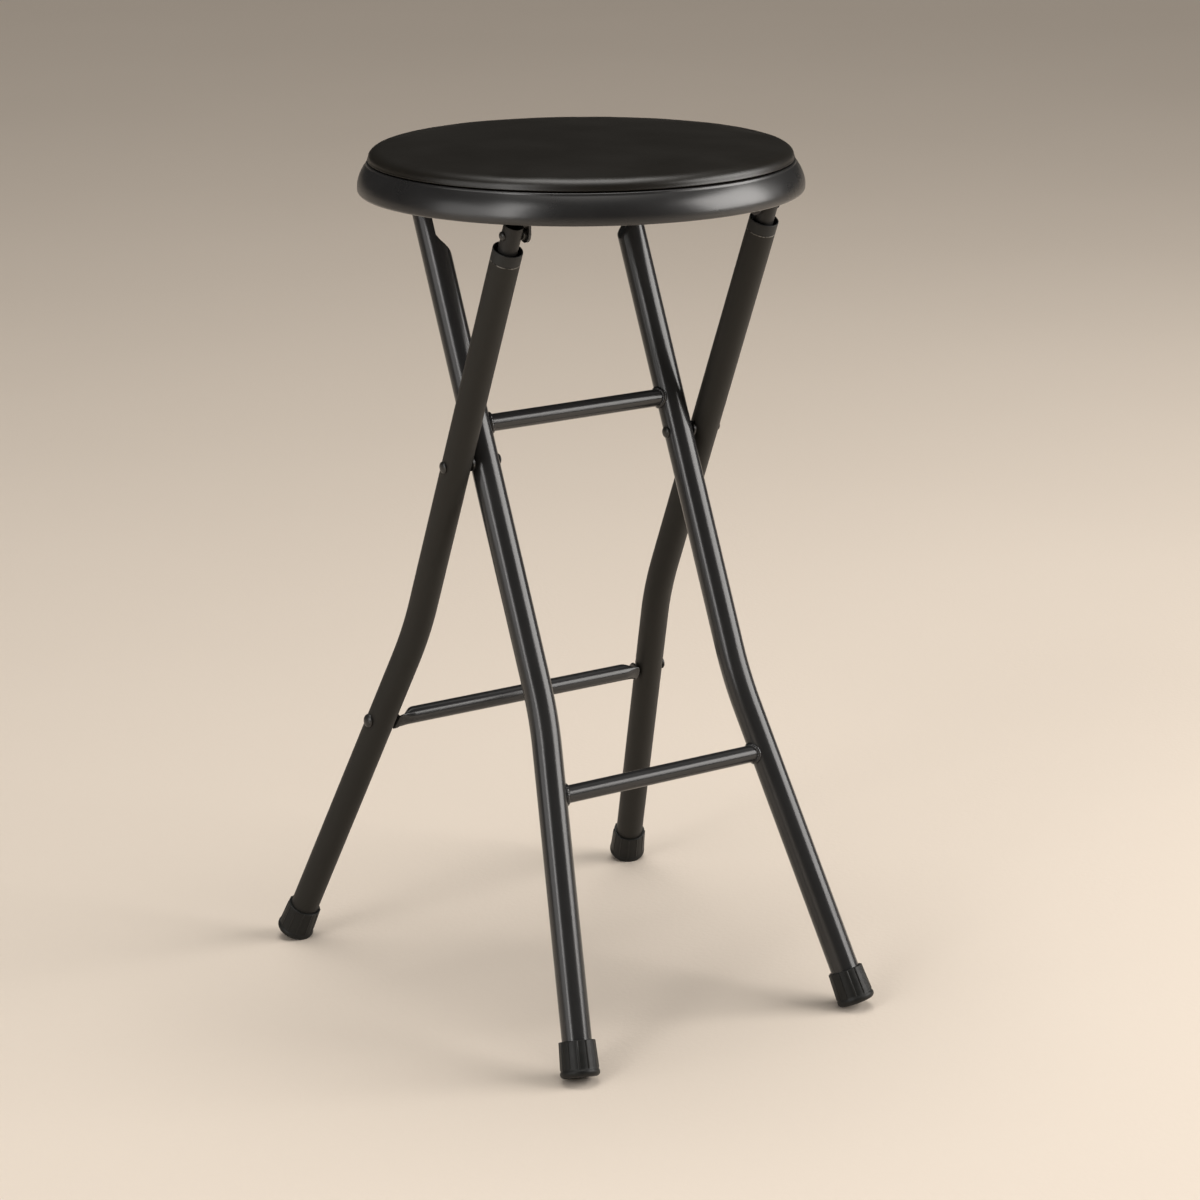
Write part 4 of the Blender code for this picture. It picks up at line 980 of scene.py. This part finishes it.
def pad_rings():
    """Half outline of the cushion outside its middle: over the shoulder, then round under."""
    under = DECK_TOP_Z + BOARD_THICKNESS + 2 * TOUCH_GAP
    neck = PAD_NECK_RADIUS
    side_z = SEAM_Z + PAD_SIDE_HEIGHT
    top = side_z + PAD_SHOULDER_HEIGHT - PAD_START_DROP / 2
    rings = []
    steps = round((PAD_CROWN_RADIUS - PAD_MIDDLE_RADIUS) / PAD_RING_GAP)
    for step in range(steps):
        radius = PAD_MIDDLE_RADIUS + (PAD_CROWN_RADIUS - PAD_MIDDLE_RADIUS) * step / steps
        rings.append((radius, top + crown_rise(radius)))
    for step in range(2 * ROUND_STEPS + 1):
        angle = math.pi / 2 * (1 - step / (2 * ROUND_STEPS))
        radius = PAD_CROWN_RADIUS + PAD_SHOULDER_WIDTH * math.cos(angle)
        rings.append((radius, side_z + (top - side_z) * math.sin(angle)))
    rings += [
        (PAD_WIDEST_RADIUS - PAD_TUCK / 4, SEAM_Z + PAD_SIDE_HEIGHT / 2),
        (PAD_WIDEST_RADIUS - PAD_TUCK, SEAM_Z + TOUCH_GAP),
        (neck + PAD_OVERHANG / 2, SEAM_Z),
        (neck, SHOULDER_Z),
        (neck, (SHOULDER_Z + under) / 2),
        (neck, under + 2 * TOUCH_GAP),
        (neck - 2 * TOUCH_GAP, under),
        (PAD_MIDDLE_RADIUS, under),
    ]
    return rings


def crown_rise(radius):
    """Height of the cushion's low crown over the edge of the crown."""
    share = radius / PAD_CROWN_RADIUS
    return (PAD_CROWN - PAD_START_DROP / 2) * (1 - share * share)


def disc_point(row, column):
    """Place in a unit disc of a square grid's crossing, with the square's edge on the circle."""
    across = math.sqrt(2) * math.sin(math.pi / 2 * (row / PAD_GRID - 0.5))
    along = math.sqrt(2) * math.sin(math.pi / 2 * (column / PAD_GRID - 0.5))
    return across * math.sqrt(1 - along * along / 2), along * math.sqrt(1 - across * across / 2)


def disc_grid(bm, heights):
    """Grid of faces over the cushion's middle. Returns the loop of points round its edge."""
    grid = {}
    for row in range(PAD_GRID + 1):
        for column in range(PAD_GRID + 1):
            x, y = disc_point(row, column)
            height = heights(math.hypot(x, y) * PAD_MIDDLE_RADIUS)
            grid[row, column] = bm.verts.new((x * PAD_MIDDLE_RADIUS, y * PAD_MIDDLE_RADIUS, height))
    for row in range(PAD_GRID):
        for column in range(PAD_GRID):
            corners = ((row, column), (row + 1, column), (row + 1, column + 1), (row, column + 1))
            bm.faces.new([grid[corner] for corner in corners])
    last = PAD_GRID
    loop = [grid[i, 0] for i in range(last)] + [grid[last, i] for i in range(last)]
    loop += [grid[last - i, last] for i in range(last)] + [grid[0, last - i] for i in range(last)]
    return loop


def cushion_mesh():
    """Closed even-meshed cushion: a grid in the middle of each side, and rings round its edge."""
    bm = bmesh.new()
    rings = pad_rings()
    crown_edge = rings[0][1] - crown_rise(PAD_MIDDLE_RADIUS)
    previous = disc_grid(bm, lambda radius: crown_edge + crown_rise(radius))
    bottom = disc_grid(bm, lambda radius: rings[-1][1])
    turns = [math.atan2(vertex.co.y, vertex.co.x) for vertex in previous]
    for radius, height in rings[1:-1]:
        places = [(radius * math.cos(turn), radius * math.sin(turn), height) for turn in turns]
        ring = [bm.verts.new(place) for place in places]
        join_loops(bm, previous, ring)
        previous = ring
    join_loops(bm, previous, bottom)
    bmesh.ops.recalc_face_normals(bm, faces=bm.faces)
    return bm


def inflate(cushion):
    """Swell the cushion with air pressure and ease its waves, with its tucked edge held."""
    start = [vertex.co.copy() for vertex in cushion.data.vertices]
    held = cushion.vertex_groups.new(name="held")
    held_z = SEAM_Z + 2 * TOUCH_GAP
    held.add([i for i, point in enumerate(start) if point.z < held_z], 1.0, "REPLACE")
    cloth = cushion.modifiers.new("air", "CLOTH")
    cloth.settings.vertex_group_mass = held.name
    cloth.settings.use_pressure = True
    cloth.settings.uniform_pressure_force = CUSHION_PRESSURE
    cloth.settings.effector_weights.gravity = 0.0
    cloth.collision_settings.use_collision = False
    cloth.point_cache.frame_start = 1
    cloth.point_cache.frame_end = CUSHION_FRAMES
    for number in range(1, CUSHION_FRAMES + 1):
        bpy.context.scene.frame_set(number)
    apply_modifiers(cushion)
    for vertex, point in zip(cushion.data.vertices, start):
        move = vertex.co - point
        if move.length > CUSHION_TRAVEL:
            vertex.co = point + move * (CUSHION_TRAVEL / move.length)
    bpy.context.scene.frame_set(1)
    ease = cushion.modifiers.new("ease", "SMOOTH")
    ease.factor = EASE_SHARE
    ease.iterations = EASE_ROUNDS
    ease.vertex_group = held.name
    ease.invert_vertex_group = True
    apply_modifiers(cushion)


def make_cushion(looks):
    """Vinyl cushion, drawn a little small, swollen with air pressure and subdivided."""
    mesh = bpy.data.meshes.new("cushion")
    bm = cushion_mesh()
    bm.to_mesh(mesh)
    bm.free()
    cushion = bpy.data.objects.new("cushion", mesh)
    bpy.context.scene.collection.objects.link(cushion)
    inflate(cushion)
    fine = cushion.modifiers.new("fine", "SUBSURF")
    fine.levels = fine.render_levels = 1
    apply_modifiers(cushion)
    cushion.data.materials.append(looks["vinyl"])
    cushion.data.shade_smooth()
    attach(cushion, "seat")
    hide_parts("seat_pad")


def direction(azimuth, elevation):
    """Unit vector from angles in radians. Azimuth 0 is the front and grows towards +X."""
    level = math.cos(elevation)
    return Vector((math.sin(azimuth) * level, -math.cos(azimuth) * level, math.sin(elevation)))


def camera_axes():
    """Right, up and backward directions of the camera."""
    back = direction(CAMERA_AZIMUTH, CAMERA_ELEVATION)
    level_right = (-back).cross(UP).normalized()
    level_up = level_right.cross(-back)
    right = level_right * math.cos(CAMERA_ROLL) + level_up * math.sin(CAMERA_ROLL)
    up = level_up * math.cos(CAMERA_ROLL) - level_right * math.sin(CAMERA_ROLL)
    return right, up, back


def make_camera():
    camera = bpy.data.objects.new("camera", bpy.data.cameras.new("camera"))
    bpy.context.scene.collection.objects.link(camera)
    turned = Matrix(camera_axes()).transposed().to_4x4()
    camera.matrix_world = Matrix.Translation(CAMERA_PLACE) @ turned
    camera.data.sensor_width = CAMERA_SENSOR
    camera.data.lens = CAMERA_LENS
    bpy.context.scene.camera = camera


def make_lamp(name, azimuth, elevation, distance, size, power, tint):
    """Soft rectangular lamp that looks at the stool."""
    away = direction(CAMERA_AZIMUTH + math.radians(azimuth), math.radians(elevation))
    light = bpy.data.lights.new(name, "AREA")
    light.shape = "RECTANGLE"
    light.size, light.size_y = size
    light.energy = power
    light.color = tint
    lamp = bpy.data.objects.new(name, light)
    bpy.context.scene.collection.objects.link(lamp)
    lamp.location = LAMP_TARGET + away * distance
    lamp.rotation_euler = away.to_track_quat("Z", "Y").to_euler()


def make_floor():
    mesh = bpy.data.meshes.new("floor")
    bm = bmesh.new()
    corners = ((-1, -1), (1, -1), (1, 1), (-1, 1))
    bm.faces.new([bm.verts.new((x * FLOOR_REACH, y * FLOOR_REACH, 0.0)) for x, y in corners])
    bm.to_mesh(mesh)
    bm.free()
    mesh.materials.append(floor_material())
    floor = bpy.data.objects.new("floor", mesh)
    bpy.context.scene.collection.objects.link(floor)


def make_sky():
    world = bpy.data.worlds.new("studio")
    bpy.context.scene.world = world
    world.use_nodes = True
    nodes = world.node_tree.nodes
    links = world.node_tree.links
    split = nodes.new("ShaderNodeSeparateXYZ")
    links.new(nodes.new("ShaderNodeTexCoord").outputs["Generated"], split.inputs["Vector"])
    rise = nodes.new("ShaderNodeMapRange")
    rise.interpolation_type = "SMOOTHSTEP"
    rise.inputs["From Min"].default_value = SKY_DARK_HEIGHT
    rise.inputs["From Max"].default_value = 1.0
    rise.inputs["To Min"].default_value = SKY_DARK_STRENGTH
    rise.inputs["To Max"].default_value = SKY_BRIGHT_STRENGTH
    links.new(split.outputs["Z"], rise.inputs["Value"])
    background = nodes["Background"]
    background.inputs["Color"].default_value = SKY_TONE
    links.new(rise.outputs["Result"], background.inputs["Strength"])


def make_studio():
    make_floor()
    make_sky()
    for lamp in LAMPS:
        make_lamp(**lamp)
    bpy.context.scene.view_settings.view_transform = "Standard"


looks = make_materials()
dress_kept_nodes(looks)
make_outer_legs(looks)
make_inner_legs(looks)
make_bars(looks)
make_rear_crossbar(looks)
make_mouths(looks)
make_feet(looks)
make_rivets(looks)
make_pan(looks)
make_cushion(looks)
make_camera()
make_studio()
